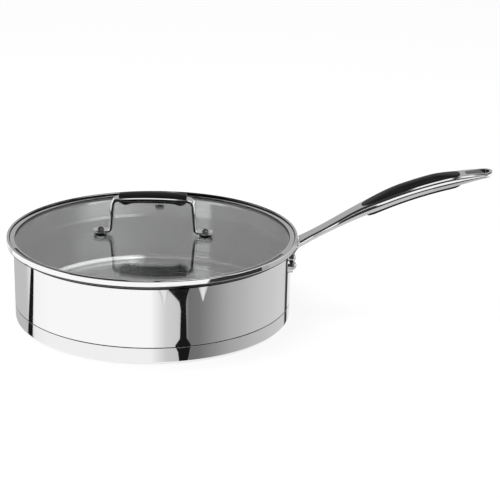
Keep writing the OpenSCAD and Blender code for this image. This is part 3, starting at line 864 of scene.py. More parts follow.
# %% Holes in the feet
SCREW_X = 53.4
SCREW_R = 2
LOOSE = 0.25
SMALL_STEPS = 64
PAST = 2


def drill(piece, radius, z0, z1, centre):
    """Cuts a round hole from one height to another and a little past both."""
    cut(piece, cylinder(radius, z0 - PAST, z1 + PAST, centre, SMALL_STEPS))


for side in (-1, 1):
    drill(strap, SCREW_R + LOOSE, foot_z, foot_z + STRAP_THICK, (side * SCREW_X, 0))
settle(strap, 35)
settle(bar_top_pad, 45)
settle(bar_under_pad, 45)

# %% [markdown]
# Each foot is held by a domed socket screw through the glass, with a rubber gasket
# above it and a washer stack and cap nut below. They are small, but they sit in the
# middle of the glass, so each gets its rounds, its socket and its flats. One of
# each is modelled and the other foot gets a copy.

# %% Copies for the second foot
def both_feet(piece):
    """Copies a piece from the right foot to the left one and joins the two."""
    pick(piece)
    bpy.ops.object.duplicate(linked=False)
    copy = bpy.context.object
    copy.location.x = -2 * SCREW_X * MM
    bpy.ops.object.transform_apply(location=True)
    piece.select_set(True)
    bpy.context.view_layer.objects.active = piece
    bpy.ops.object.join()
    return piece


def dome(radius, height, z):
    """An outline from the rim of a dome to its top, on the axis."""
    ball = (radius ** 2 + height ** 2) / (2 * height)
    start = 90 - math.degrees(math.asin(radius / ball))
    return arc(0, z + height - ball, ball, start, 90, 10)


# %% Screws
HEAD_R = 3.6
HEAD_H = 2.6
SOCKET = 2.9
HEAD_EDGE = 0.3
screw_low_z = box_mm("lid_screws")[0][2]
head_z = foot_z + STRAP_THICK
foot = (SCREW_X, 0)
screw_outline = [
    *rounded([(0, screw_low_z), (SCREW_R, screw_low_z, HEAD_EDGE), (SCREW_R, head_z)], 3),
    (HEAD_R - HEAD_EDGE, head_z), *dome(HEAD_R, HEAD_H - HEAD_EDGE, head_z + HEAD_EDGE),
]
screws = turned("lid_screw_pair", screw_outline, foot, SMALL_STEPS)
cut(screws, cylinder(SOCKET / 2, head_z + 0.4 * HEAD_H, head_z + 2 * HEAD_H, foot, 6))
soften_edges(screws, lambda p: p.z > head_z + 0.5 * HEAD_H, 0.15, sharp=40)
settle(screws, 35)
both_feet(screws)

# %% Gaskets and washers
GASKET_R = 6.8
COLLAR_R = 3.1
SNUG = 0.1
WASHER_R = 5
WASHER_STEPS = 96
bore_r = SCREW_R + SNUG
gasket_outline = rounded([
    (bore_r, gasket_low_z), (COLLAR_R, gasket_low_z), (COLLAR_R, glass_top_z),
    (GASKET_R, glass_top_z, 0.35), (GASKET_R, foot_z, 0.7), (bore_r, foot_z),
    (bore_r, gasket_low_z),
])
gaskets = both_feet(turned("lid_foot_gaskets", gasket_outline, foot, WASHER_STEPS))


def washer_pair(name, node):
    """Two washers as thick as their CAD node, one for each foot."""
    z0, z1 = [corner[2] for corner in box_mm(node)]
    outline = [(bore_r, z0), (WASHER_R, z0, 0.2), (WASHER_R, z1, 0.2), (bore_r, z1), (bore_r, z0)]
    return both_feet(turned(name, rounded(outline, 3), foot, WASHER_STEPS))


soft_washers = washer_pair("lid_soft_washers", "seal_washers")
steel_washers = washer_pair("lid_steel_washers", "lid_washers")

# %% [markdown]
# A cap nut is a short hexagon with a dome on one end, so that the thread ends inside
# it. The hexagon is a cylinder with six sides whose edges are bevelled, and the dome
# is turned and joined to it. The dome points down into the pan.

# %% Cap nuts
NUT_FLATS = 7
NUT_DOME = 1.5
DOME_EDGE = 0.3
DOME_SUNK = 0.6
nut_low_z, nut_high_z = [corner[2] for corner in box_mm("lid_cap_nuts")]
hex_low_z = nut_low_z + NUT_DOME
hex_r = NUT_FLATS / 2 / math.cos(math.pi / 6)
nuts = cylinder(hex_r, hex_low_z, nut_high_z, foot, 6)
nuts.name = "lid_nut_pair"
soften_edges(nuts, lambda p: True, 0.25, sharp=30)
dome_r = NUT_FLATS / 2 - DOME_EDGE
nut_dome = turned("nut_dome", [
    (0, hex_low_z + DOME_SUNK), (dome_r, hex_low_z + DOME_SUNK),
    *[(p.x, 2 * hex_low_z - p.y) for p in dome(dome_r, NUT_DOME, hex_low_z)],
], foot, steps=48)
cut(nuts, nut_dome, "UNION")
cut(nuts, cylinder(SCREW_R + 0.05, hex_low_z - 0.1, nut_high_z + 1, foot, SMALL_STEPS))
settle(nuts, 35)
both_feet(nuts)

# %% [markdown]
# The steam vent is a small steel eyelet. On the real lid its sleeve is pushed through
# the glass and its two flanges are rolled over both faces. Here it is one closed
# outline again, and the flanges stay a fiftieth of a millimetre off the glass.

# %% Steam vent
VENT_R = 2.2
EYELET_R = 5
EYELET_SHEET = 0.5
OFF_GLASS = 0.02
vent_low, vent_high = box_mm("vent_eyelet")
vent_place = (0, (vent_low[1] + vent_high[1]) / 2)
vent_z0, vent_z1 = vent_low[2], vent_high[2]
sleeve_r = VENT_R + EYELET_SHEET
vent_outline = rounded([
    (VENT_R, vent_z0 + 0.3), (VENT_R, vent_z0, 0.25), (EYELET_R, vent_z0, 0.2),
    (EYELET_R, glass_z - OFF_GLASS, 0.1), (sleeve_r, glass_z - OFF_GLASS),
    (sleeve_r, glass_top_z + OFF_GLASS), (EYELET_R, glass_top_z + OFF_GLASS, 0.1),
    (EYELET_R, vent_z1, 0.2), (VENT_R, vent_z1, 0.25), (VENT_R, vent_z0 + 0.3),
], 4)
vent = turned("lid_vent_eyelet", vent_outline, vent_place, SMALL_STEPS)

# %% [markdown]
# The glass is drilled before it is toughened, with room for the soft collars of the
# gaskets and for the vent's sleeve. Here the holes are cut last, when the pieces that
# pass through them have their sizes.

# %% Holes in the glass
holes = [((-SCREW_X, 0), COLLAR_R), ((SCREW_X, 0), COLLAR_R), (vent_place, sleeve_r)]
for centre, radius in holes:
    drill(lid_glass, radius + SNUG, glass_z, glass_top_z, centre)
settle(lid_glass)
print("the glass has", len(holes), "holes")

# %% [markdown]
# The rivets are turned pieces too. Each is drawn upright, laid on its side and
# turned round the pan's axis to its place on the flange, with a low dome inside the
# pan and a taller one outside.

# %% Rivets
RIVET_PITCH = 24
RIVET_R = 2.6
RIVET_HEAD_R = 4.5
RIVET_HEAD_H = 3.2
RIVET_EDGE = 0.25
RIVET_INNER_R = 5
RIVET_INNER_H = 1.8
seat_r = pan_r - 0.1
rivet_outline = [
    *[(p.x, 2 * seat_r - p.y) for p in dome(RIVET_INNER_R, RIVET_INNER_H, seat_r)[::-1]],
    (RIVET_R, seat_r), (RIVET_R, flange_r), (RIVET_HEAD_R - RIVET_EDGE, flange_r),
    *dome(RIVET_HEAD_R, RIVET_HEAD_H - RIVET_EDGE, flange_r + RIVET_EDGE),
]
rivet_turn = math.asin(RIVET_PITCH / 2 / wall_r)
rivets = turned("handle_rivet_pair", rivet_outline, steps=SMALL_STEPS)
rivets.rotation_euler = (0, math.pi / 2, 0)
rivets.location = (0, 0, rivet_z * MM)
settle(rivets, 35)
bpy.ops.object.duplicate(linked=False)
second = bpy.context.object
rivets.rotation_euler = (0, 0, -rivet_turn)
second.rotation_euler = (0, 0, rivet_turn)
pick(rivets)
second.select_set(True)
bpy.ops.object.transform_apply(rotation=True)
bpy.ops.object.join()
print("all pieces are modelled")

# %% [markdown]
# # Materials
#
# Every finish is a Principled shader with procedural detail. Polished steel is never
# one roughness: the polishing wheel leaves lines that run round a turned piece, with
# cloudy patches between them and a very slight waviness in the sheet. An image
# texture could hold that too, but noise in three dimensions needs no unwrapping and
# stays sharp at any distance.

# %% Helpers for node trees
def new_material(name, colour, metallic, roughness):
    """A Principled material with a linear colour, its node tree and its shader."""
    material = bpy.data.materials.new(name)
    material.use_nodes = True
    shader = material.node_tree.nodes["Principled BSDF"]
    shader.inputs["Base Color"].default_value = (*colour, 1)
    shader.inputs["Metallic"].default_value = metallic
    shader.inputs["Roughness"].default_value = roughness
    return material, material.node_tree, shader


def add(tree, kind, sockets=None, **settings):
    """Adds a node, sets its options and fills or links its sockets; returns its first output."""
    node = tree.nodes.new(kind)
    for key, value in settings.items():
        setattr(node, key, value)
    for key, value in (sockets or {}).items():
        if isinstance(value, bpy.types.NodeSocket):
            tree.links.new(value, node.inputs[key])
        else:
            node.inputs[key].default_value = value
    return node.outputs[0]


def feed(tree, socket, value):
    """Links a value to one socket of the material's shader."""
    tree.links.new(value, tree.nodes["Principled BSDF"].inputs[socket])


def maths(tree, operation, first, second=0.0, clamp=False):
    return add(tree, "ShaderNodeMath", {0: first, 1: second}, operation=operation, use_clamp=clamp)


def times(tree, first, second):
    return maths(tree, "MULTIPLY", first, second)


def larger(tree, first, second):
    return maths(tree, "MAXIMUM", first, second)


# %% [markdown]
# Where a finish changes, a share from 0 to 1 says how much of it a point has. It is
# made from the point's own coordinates: a length is over a limit or under it, the
# product of two shares is 1 where both are, and the larger of two is 1 where either
# is. A painted mask could do this too, but it would be only as sharp as its pixels.

# %% Shares and zones
def between(tree, share, low, high, start=0.0, end=1.0):
    """A value that goes from low to high as share goes from start to end."""
    return add(tree, "ShaderNodeMapRange", {
        "Value": share, "From Min": start, "From Max": end, "To Min": low, "To Max": high})


def over(tree, length, limit):
    """1 where a length is more than so many millimetres, and 0 elsewhere."""
    return maths(tree, "GREATER_THAN", length, limit * MM)


def under(tree, length, limit):
    """1 where a length is less than so many millimetres, and 0 elsewhere."""
    return maths(tree, "LESS_THAN", length, limit * MM)


def zone(tree, length, low, high):
    """1 where a length lies between two limits in millimetres, and 0 elsewhere."""
    return times(tree, over(tree, length, low), under(tree, length, high))


def ramp(tree, share, stops, blue=1.0):
    """A grey that changes through (share, grey) stops, with a little more blue if told so."""
    node = tree.nodes.new("ShaderNodeValToRGB")
    tree.links.new(share, node.inputs[0])
    steps = node.color_ramp.elements
    for i, (place, grey) in enumerate(stops):
        step = steps[i] if i < 2 else steps.new(place)
        step.position = place
        step.color = (grey, grey, grey * blue, 1)
    return node.outputs[0]


def greys(tree, share, first, second):
    """The very slightly cool colour of steel, from one grey to another."""
    return ramp(tree, share, [(0, first), (1, second)], 1.005)


# %% Places and noise
def noise(tree, vector, scale, detail=2.0):
    return add(tree, "ShaderNodeTexNoise", {"Vector": vector, "Scale": scale, "Detail": detail})


def scaled(tree, *parts):
    """A vector made from three (value, factor) pairs."""
    return add(tree, "ShaderNodeCombineXYZ", {
        i: times(tree, value, factor) for i, (value, factor) in enumerate(parts)})


def bump(tree, height, depth_mm, below=None):
    """Turns a height from 0 to 1 into a normal, with a depth in millimetres."""
    sockets = {"Height": height, "Strength": 1.0, "Distance": depth_mm * MM}
    if below is not None:
        sockets["Normal"] = below
    return add(tree, "ShaderNodeBump", sockets)


def places(tree):
    """Object coordinates, their three parts, and the distance from the pan's axis."""
    place = tree.nodes.new("ShaderNodeTexCoord").outputs["Object"]
    split = tree.nodes.new("ShaderNodeSeparateXYZ")
    tree.links.new(place, split.inputs[0])
    x, y, z = split.outputs
    length = tree.nodes.new("ShaderNodeVectorMath")
    length.operation = "LENGTH"
    level = add(tree, "ShaderNodeCombineXYZ", {"X": x, "Y": y})
    tree.links.new(level, length.inputs[0])
    return place, x, y, z, length.outputs["Value"]


# %% [markdown]
# A wheel polishes a turned piece while it spins, and a belt polishes a bar along its
# length. Both leave lines, and only the direction in which the noise is stretched
# tells them apart. So one function makes every steel, and takes the lines as an
# argument.

# %% Lines that run round the axis, and lines that run along a bar
def round_lines(tree, spot, fine):
    """Noise that is fine across a turned piece and slow round it."""
    place, x, y, z, radius = spot
    depth = maths(tree, "ADD", radius, z)
    return noise(tree, scaled(tree, (x, 5.0), (y, 5.0), (depth, fine)), 1.0, 4.0)


def long_lines(tree, spot, fine):
    """Noise that is fine across a bar and slow along it."""
    place, x, y, z, radius = spot
    return noise(tree, scaled(tree, (x, 14.0), (y, fine), (z, fine / 8)), 1.0, 4.0)


# %% Polished metal
CLOUD_SCALE = 35.0
CLOUD_GAIN = 2.4
WAVE_SCALE = 20.0


def polished(tree, spot, lines, rough_low, rough_high, line_depth, wave_depth):
    """Gives a metal its cloudy polish, its fine lines and its slight waviness."""
    place = spot[0]
    clouds = noise(tree, place, CLOUD_SCALE, 3.0)
    mixed = maths(tree, "MULTIPLY", times(tree, lines, clouds), CLOUD_GAIN, True)
    rough = between(tree, mixed, rough_low, rough_high)
    feed(tree, "Roughness", rough)
    wavy = bump(tree, noise(tree, place, WAVE_SCALE, 1.0), wave_depth)
    feed(tree, "Normal", bump(tree, lines, line_depth, wavy))
    return rough


def steel(name, colour, rough_low, rough_high,
          lines_of=round_lines, fine=900.0, line_depth=0.0004, wave_depth=0.02):
    """A steel with wheel lines or belt lines; the depths are in millimetres."""
    material, tree, shader = new_material(name, colour, 1.0, rough_low)
    spot = places(tree)
    lines = lines_of(tree, spot, fine)
    polished(tree, spot, lines, rough_low, rough_high, line_depth, wave_depth)
    return material


# %% [markdown]
# The screws and the vent's eyelet are the darkest steels. They are small and sit deep
# in the reflections of the strap, so their colours are painted dark as painted shade,
# which leaves them hardly brighter than the rubber round them.

# %% Steels
cap_steel = steel("steel_base_polish", (0.86, 0.86, 0.865), 0.02, 0.07)
small_steel = steel("steel_small_parts", (0.72, 0.72, 0.73), 0.1, 0.22, fine=2500.0)
# Painted shade: the screws and the vent's eyelet are painted darker than the other steels.
screw_steel = steel("steel_screw_dark", (0.32, 0.32, 0.33), 0.12, 0.25, fine=2500.0)
vent_steel = steel("steel_vent_dark", (0.05, 0.05, 0.05), 0.14, 0.28, fine=2500.0)
strap_steel = steel("steel_strap_polish", (0.9, 0.9, 0.905), 0.05, 0.12,
                    long_lines, 1200.0, 0.0006, 0.01)
handle_steel = steel("steel_handle_cast", (0.9, 0.9, 0.903), 0.04, 0.1,
                     long_lines, 900.0, 0.0004, 0.01)
print("steels:", [m.name for m in bpy.data.materials if m.name.startswith("steel_")])

# %% [markdown]
# The wall of the hanging slot and the cut side faces of the strap have painted shade:
# their colour is painted dark. The slot's zone follows its outline, a little outside it:
# a wedge between its two circles, and a disc round the wide one.

# %% Painted shade in the slot and on the strap's sides
BELT_GREY = 0.9
SLOT_SHADE_GREY = 0.13
EDGE_SHADE_GREY = 0.14
SLOT_MARGIN = 0.4
# Painted shade: the wall of the hanging slot is painted dark.
tree = handle_steel.node_tree
place, x, y, z, radius = places(tree)
end_r = (wide_r + SLOT_MARGIN) * MM
slot_half = between(tree, x, (narrow_r + 0.6) * MM, end_r, slot_x0 * MM, slot_x1 * MM)
in_width = maths(tree, "LESS_THAN", maths(tree, "ABSOLUTE", y), slot_half)
in_wedge = times(tree, in_width, zone(tree, x, slot_x0 - narrow_r + 0.5, slot_x1))
past_end = maths(tree, "SUBTRACT", x, slot_x1 * MM)
squares = [maths(tree, "POWER", side, 2.0) for side in (past_end, y)]
in_disc = maths(tree, "LESS_THAN", maths(tree, "ADD", *squares), end_r ** 2)
in_slot = larger(tree, in_wedge, in_disc)
feed(tree, "Base Color", greys(tree, in_slot, BELT_GREY, SLOT_SHADE_GREY))
# Painted shade: the strap's side faces are painted dark.
tree = strap_steel.node_tree
place, x, y, z, radius = places(tree)
shaded_side = over(tree, maths(tree, "ABSOLUTE", y), STRAP_HALF - 0.05)
feed(tree, "Base Color", greys(tree, shaded_side, BELT_GREY, EDGE_SHADE_GREY))
print("the slot is dark up to x", round(slot_x1 + wide_r + SLOT_MARGIN, 1))

# %% [markdown]
# Outside, the drum is mirror polished. Inside it is left satin, because food hides
# scratches there, and fine rings from the lathe stay visible on the floor. It is one
# sheet, so one material holds both finishes: the distance from the axis and the
# height say which face of the sheet a point is on. The seam is painted dark, as a dark
# joint with painted shade in its groove, and the outside of the flared lip is painted
# shade. Those two thin dark lines are much of what tells the eye that the pan is made
# of several pieces.
#
# The inside of the back wall is seen through the lid and mirrors what no board can put
# there. So its broad greys are painted reflections, laid round the wall by azimuth: 0 is
# straight back, and minus is to the left. The lowest 12 mm have painted reflections of
# their own, because they mirror the pan's floor. A thin painted highlight runs round the
# wall at 59 mm, and above it the wall is painted brighter than below.

# %% Greys of the drum, as (azimuth, grey)
OUTER_GREY = 0.93
SATIN_GREY = 0.82
JOINT_AND_SHADE_GREY = 0.03
HIGHLIGHT_LINE_Z = 59
HIGHLIGHT_LINE_HALF = 1.7
BRIGHTER_ABOVE_Z = (56, 63)
LOW_ZONE_Z = 12
LIP_SHADE = 0.8
BACK_FADE = 30
WALL_FADE = (22, 12)
wall_reflection_bands = [(-90, 0.16), (-45, 0.22), (-39, 0.62), (-20, 0.55), (-9, 0.32), (0, 0.2), (14, 0.18),
              (16.5, 0.95), (21.5, 0.95), (24, 0.15), (50, 0.18), (65, 0.35), (90, 0.2)]
low_reflection_bands = [(-90, 0.2), (-60, 0.4), (-46, 1), (-14, 1), (-7, 0.06), (90, 0.06)]
highlight_line_bands = [(-90, 0.3), (-50, 0.55), (-29, 1), (-15, 1), (-4, 0), (50, 0), (65, 0.5), (85, 0.3)]


def by_azimuth(tree, x, y, bands):
    """A grey that changes round the back half of the pan."""
    share = between(tree, maths(tree, "ARCTAN2", x, y), 0.0, 1.0, -math.pi / 2, math.pi / 2)
    return ramp(tree, share, [((azimuth + 90) / 180, grey) for azimuth, grey in bands])


# %% Steel of the drum
drum_steel, tree, shader = new_material(
    "steel_drum", (OUTER_GREY, OUTER_GREY, OUTER_GREY), 1.0, 0.05)
spot = places(tree)
place, x, y, z, radius = spot
mid_sheet_r = pan_r + SHEET / 2
lines = round_lines(tree, spot, 900.0)
outer_rough = polished(tree, spot, lines, 0.02, 0.06, 0.0003, 0.02)
inside = times(tree, under(tree, radius, mid_sheet_r), over(tree, z, floor_under_z + SHEET / 2))
inner_rough = between(tree, lines, 0.16, 0.32)
feed(tree, "Roughness", between(tree, inside, outer_rough, inner_rough))
# Painted reflection: above this step the inside wall is painted brighter than below.
upper = between(tree, z, 0.5, 1.2, *[height * MM for height in BRIGHTER_ABOVE_Z])
streaks = times(tree, upper, between(tree, lines, 0.6, 1.4))
wall_grey = times(tree, by_azimuth(tree, x, y, wall_reflection_bands), streaks)
# A painted highlight line round the wall at 59 mm, its brightness set by azimuth.
on_highlight_line = zone(tree, z, HIGHLIGHT_LINE_Z - HIGHLIGHT_LINE_HALF, HIGHLIGHT_LINE_Z + HIGHLIGHT_LINE_HALF)
wall_grey = larger(tree, wall_grey, times(tree, on_highlight_line, by_azimuth(tree, x, y, highlight_line_bands)))
low_grey = by_azimuth(tree, x, y, low_reflection_bands)
back_grey = between(tree, under(tree, z, LOW_ZONE_Z), wall_grey, low_grey)
behind = between(tree, y, 0.0, 1.0, 0.0, BACK_FADE * MM)
near_wall = between(tree, radius, 0.0, 1.0, *[(pan_r - inset) * MM for inset in WALL_FADE])
inner_grey = between(tree, times(tree, behind, near_wall), SATIN_GREY, back_grey)
clean = between(tree, inside, OUTER_GREY, inner_grey)
# The seam is a dark joint with painted shade in its groove; the lip's outside is painted shade.
seam = zone(tree, z, seam_z, seam_z + SEAM_GAP + 0.05)
painted_lip_shade = times(tree, over(tree, z, pan_h - LIP_HEIGHT - LIP_SHADE), over(tree, radius, mid_sheet_r))
shade = between(tree, larger(tree, seam, painted_lip_shade), clean, JOINT_AND_SHADE_GREY)
feed(tree, "Base Color", greys(tree, shade, 0.0, 1.0))
print("satin starts inside radius", mid_sheet_r)

# %% [markdown]
# The ring is one folded sheet. A dark line of painted shade runs along the fold under its
# side, and another in the groove inside the bead. In front the flat band of the real lid
# looks dark, and a board that darkened it would show on other pieces too. So the front
# part of the band is painted dark as a painted reflection, with a bright edge left
# beside the glass.

# %% Steel of the lid's ring
RING_GREY = 0.88
FOLD_HEIGHT = 2.1
FRONT_Y = -56
FRONT_SHINE = 1.6
ring_steel = steel("steel_ring_polish", (RING_GREY, RING_GREY, RING_GREY), 0.02, 0.07)
tree = ring_steel.node_tree
place, x, y, z, radius = places(tree)
groove_end = bead_in_r + 0.15
# Painted shade along the fold and in the bead's groove, and a painted dark reflection on the front
# of the band.
fold = zone(tree, z, pan_h - 1, pan_h + FOLD_HEIGHT)
groove = zone(tree, radius, bead_in_r - 0.8, groove_end)
front_band = times(tree, under(tree, y, FRONT_Y),
                   zone(tree, radius, opening_r + FRONT_SHINE, groove_end))
painted_shade_lines = larger(tree, fold, larger(tree, groove, front_band))
feed(tree, "Base Color", greys(tree, painted_shade_lines, RING_GREY, JOINT_AND_SHADE_GREY))
print("the ring is dark in front of y", FRONT_Y)

# %% [markdown]
# Moulded silicone is black but not dead: it has a wide, soft sheen, a grain finer
# than a tenth of a millimetre, and faint patches where hands have polished it. The
# grips and the small rubber parts differ only in their grain and their gloss.

# %% Silicone
def silicone(name, rough_low, rough_high, grain=9000.0, dark=0.009, light=0.018):
    material, tree, shader = new_material(name, (dark, dark, dark), 0.0, rough_low)
    shader.inputs["Specular IOR Level"].default_value = 0.22
    place = places(tree)[0]
    patches = noise(tree, place, 60.0, 3.0)
    feed(tree, "Roughness", between(tree, patches, rough_low, rough_high))
    feed(tree, "Normal", bump(tree, noise(tree, place, grain, 2.0), 0.006))
    feed(tree, "Base Color", ramp(tree, patches, [(0, dark), (1, light)], 1.05))
    return material


grip_rubber = silicone("silicone_grip", 0.3, 0.46)
small_rubber = silicone("silicone_small_parts", 0.4, 0.6, 12000.0, 0.01, 0.016)
print("silicones:", grip_rubber.name, small_rubber.name)

# %% [markdown]
# Toughened glass is clear, but its faces carry a trace of roller wave from the
# furnace and a thin film of wiping marks. Both are far weaker than they sound: a few
# microns of wave and a roughness near a hundredth.

# %% Glass and the core's aluminium
clear_glass, tree, shader = new_material("glass_toughened", (0.985, 0.995, 0.99), 0.0, 0.0)
shader.inputs["Transmission Weight"].default_value = 1.0
shader.inputs["IOR"].default_value = 1.5
place, x, y, z, radius = places(tree)
wiping = noise(tree, scaled(tree, (x, 20.0), (y, 70.0), (z, 1.0)), 1.0, 4.0)
feed(tree, "Roughness", between(tree, wiping, 0.0, 0.014))
feed(tree, "Normal", bump(tree, noise(tree, place, 14.0, 1.0), 0.003))

core_metal, tree, shader = new_material("aluminium_core", (0.6, 0.6, 0.61), 1.0, 0.4)
spot = places(tree)
polished(tree, spot, round_lines(tree, spot, 600.0), 0.3, 0.5, 0.003, 0.05)
print(len(bpy.data.materials), "materials")

# %% [markdown]
# # Dressing the model
#
# Each piece replaces the plain solid of its CAD node and rides on that node's body so
# that it moves with the lid or stays with the pan. One table holds this for all of them,
# because a row that is missing is then easy to see.

# %% Every piece with its finish, body, CAD node and slot
dressing = [
    (pan_body, drum_steel, "pan", "pan_body", "polished_steel"),
    (base_cap, cap_steel, "pan", "base_cap", "polished_steel"),
    (handle_bar, handle_steel, "pan", "handle_frame", "cast_steel"),
    (rivets, small_steel, "pan", "handle_rivets", "polished_steel"),
    (top_pad, grip_rubber, "pan", "handle_top_grip", "black_silicone"),
    (under_pad, grip_rubber, "pan", "handle_under_grip", "black_silicone"),
    (lid_ring, ring_steel, "lid", "lid_ring", "polished_steel"),
    (lid_glass, clear_glass, "lid", "lid_glass", "lid_glass"),
    (lid_seal, small_rubber, "lid", "lid_seal", "black_silicone"),
    (strap, strap_steel, "lid", "lid_handle", "polished_steel"),
    (bar_top_pad, grip_rubber, "lid", "lid_grip_top", "black_silicone"),
    (bar_under_pad, grip_rubber, "lid", "lid_grip_under", "black_silicone"),
    (screws, screw_steel, "lid", "lid_screws", "polished_steel"),
    (gaskets, small_rubber, "lid", "foot_gaskets", "black_silicone"),
    (soft_washers, small_rubber, "lid", "seal_washers", "black_silicone"),
    (steel_washers, small_steel, "lid", "lid_washers", "polished_steel"),
    (nuts, small_steel, "lid", "lid_cap_nuts", "polished_steel"),
    (vent, vent_steel, "lid", "vent_eyelet", "polished_steel"),
]
for piece, material, body, node, slot in dressing:
    piece.data.materials.clear()
    piece.data.materials.append(material)
    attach(piece, body)
    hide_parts(node)
dressed = {node for piece, material, body, node, slot in dressing}
kept = [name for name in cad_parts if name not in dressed]
for name in kept:
    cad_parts[name].data.materials.clear()
    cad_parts[name].data.materials.append(core_metal)
print(len(dressing), "pieces dressed; CAD nodes that stay:", kept)

# %% [markdown]
# # Studio
#
# Polished steel has almost no look of its own: it shows the room. In a studio the
# object stands on a white table in a white tent, and black and grey boards round it
# are what draws its edges. The boards here do the same. They are seen in
# reflections alone, so they neither shade the floor nor stand in the picture.

# %% Room
ROOM_LIGHT = 0.6


def seen_directly(tree):
    """1 for rays from the camera, from metal and through glass, and 0 for soft light."""
    path = tree.nodes.new("ShaderNodeLightPath")
    seen = maths(tree, "ADD", path.outputs["Is Camera Ray"], path.outputs["Is Glossy Ray"])
    return maths(tree, "ADD", seen, path.outputs["Is Transmission Ray"], True)


world = bpy.data.worlds.new("white_room")
world.use_nodes = True
background = world.node_tree.nodes["Background"]
background.inputs["Color"].default_value = (1, 1, 1, 1)
level = between(world.node_tree, seen_directly(world.node_tree), ROOM_LIGHT, 1.0)
world.node_tree.links.new(level, background.inputs["Strength"])
bpy.context.scene.world = world
print("the room glows at 1, and lights soft things at", ROOM_LIGHT)

# %% [markdown]
# The floor is a large white sheet. A white paint alone would come out grey near the
# pan, so it also glows for the camera, for the steel and through the glass. What is
# left of the shadow is then as faint as on a lit table.

# %% Floor
FLOOR_HALF = 6000
FLOOR_GLOW = 0.78


def glowing_paint(name, grey):
    """A matt paint that glows white, as strongly as its Emission Strength is then told to."""
    paint, tree, shader = new_material(name, (grey, grey, grey), 0.0, 1.0)
    shader.inputs["Specular IOR Level"].default_value = 0.0
    shader.inputs["Emission Color"].default_value = (1, 1, 1, 1)
    return paint, tree


bpy.ops.object.select_all(action="DESELECT")
bpy.ops.mesh.primitive_plane_add(size=2 * FLOOR_HALF * MM)
floor = bpy.context.object
floor.name = "floor"
floor_paint, tree = glowing_paint("floor_paint", 0.32)
feed(tree, "Emission Strength", times(tree, seen_directly(tree), FLOOR_GLOW))
floor.data.materials.append(floor_paint)
print("the floor is", 2 * FLOOR_HALF, "mm wide")

# %% [markdown]
# A board is a sheet with one tone or a row of tones, and it glows, so its tone doesn't
# depend on any lamp. It is a grid of points, and a small function says where each
# point goes. That one helper makes flat boards, curved ones and odd shapes.

# %% Boards that only reflections see
def graded_paint(name, stops):
    """A board's paint, graded through stops, and white where the lid is looked through."""
    paint, tree = glowing_paint(name, 0)
    across = tree.nodes.new("ShaderNodeSeparateXYZ")
    tree.links.new(tree.nodes.new("ShaderNodeTexCoord").outputs["UV"], across.inputs[0])
    tones = ramp(tree, across.outputs["X"], stops)
    path = tree.nodes.new("ShaderNodeLightPath")
    unmirrored = maths(tree, "LESS_THAN", path.outputs["Glossy Depth"], 0.5)
    through_glass = times(tree, path.outputs["Is Transmission Ray"], unmirrored)
    feed(tree, "Emission Strength", between(tree, through_glass, tones, 1.0))
    return paint


def board(name, columns, rows, place, stops):
    """A board made from a grid, with each point put where place(u, v) says, in millimetres."""
    bpy.ops.object.select_all(action="DESELECT")
    bpy.ops.mesh.primitive_grid_add(x_subdivisions=columns, y_subdivisions=rows, size=1)
    piece = bpy.context.object
    piece.name = name
    for vertex in piece.data.vertices:
        vertex.co = Vector(place(vertex.co.x + 0.5, vertex.co.y + 0.5)) * MM
    piece.data.materials.append(graded_paint(name, stops))
    piece.visible_camera = False
    piece.visible_diffuse = False
    piece.visible_shadow = False
    piece.visible_transmission = False
    piece.visible_volume_scatter = False
    print("board", name)
    return piece


# %% [markdown]
# The boards on the floor are what the upright wall of the pan reflects, because a wall
# that is seen from above mirrors the ground in front of it. To put a dark strip at a
# chosen place on the wall, the camera's ray to that place is mirrored there and
# followed down to the floor. Boards that lie over one another have different lifts,
# or their faces would fight for the same place.

# %% Where the wall mirrors the floor
def seen_on_floor(azimuth, z, lift):
    """Where the floor is that the camera sees mirrored in the wall at an azimuth and height."""
    turn = math.radians(azimuth)
    outwards = Vector((math.sin(turn), -math.cos(turn), 0))
    spot = Vector((wall_r * outwards.x, wall_r * outwards.y, z))
    ray = (spot - camera_place / MM).normalized()
    mirrored_ray = ray - 2 * ray.dot(outwards) * outwards
    landing = spot + mirrored_ray * (z - lift) / -mirrored_ray.z
    return (landing.x, landing.y, lift)


def wall_board(name, edges, stops, lift=0.6):
    """A floor board that shows on the wall, from rows of (height, left and right azimuth)."""
    def place(u, v):
        row = v * (len(edges) - 1)
        i = min(int(row), len(edges) - 2)
        z, left, right = [a + (b - a) * (row - i) for a, b in zip(edges[i], edges[i + 1])]
        return seen_on_floor(left + (right - left) * u, z, lift)
    return board(name, 48, 24, place, stops)


def shares(stops, first, last):
    """Turns stops at angles into stops at shares of the way from a first angle to a last."""
    return [((angle - first) / (last - first), tone) for angle, tone in stops]


# %% Boards that the wall mirrors
FRONT_LEFT = -86
FRONT_RIGHT = 90
front_tones = [(-86, 0.5), (-57, 0.55), (-50, 0.95), (-40, 1), (3, 1), (9, 0.66), (14, 0.6),
               (17.8, 0.17), (22, 0.19), (28, 0.29), (35, 0.41), (48, 0.54), (66, 0.64),
               (73, 0.64), (73.8, 0.04), (77.2, 0.04), (78, 0.8)]
wall_board("front_board", [(2, FRONT_LEFT, FRONT_RIGHT), (pan_h + 2, FRONT_LEFT, FRONT_RIGHT)],
           shares(front_tones, FRONT_LEFT, FRONT_RIGHT), 0.3)
flat_black = [(0, 0.01), (1, 0.01)]
wall_board("left_flag", [(2, -57, -52.7), (42, -54.5, -51.2), (80, -52.2, -50)], flat_black)
wall_board("middle_flag", [
    (2, 14.2, 17.4), (13, 13.7, 18.2), (20, 12.5, 18.7), (27, 14.4, 17.1), (56, 14.7, 16.8),
    (64, 14.1, 16.8), (70, 12.2, 17.2), (76, 10, 18), (82, 8.5, 18.5)], flat_black)
pale_edges = [(0, 0.5), (0.3, 0.8), (0.7, 0.8), (1, 0.5)]
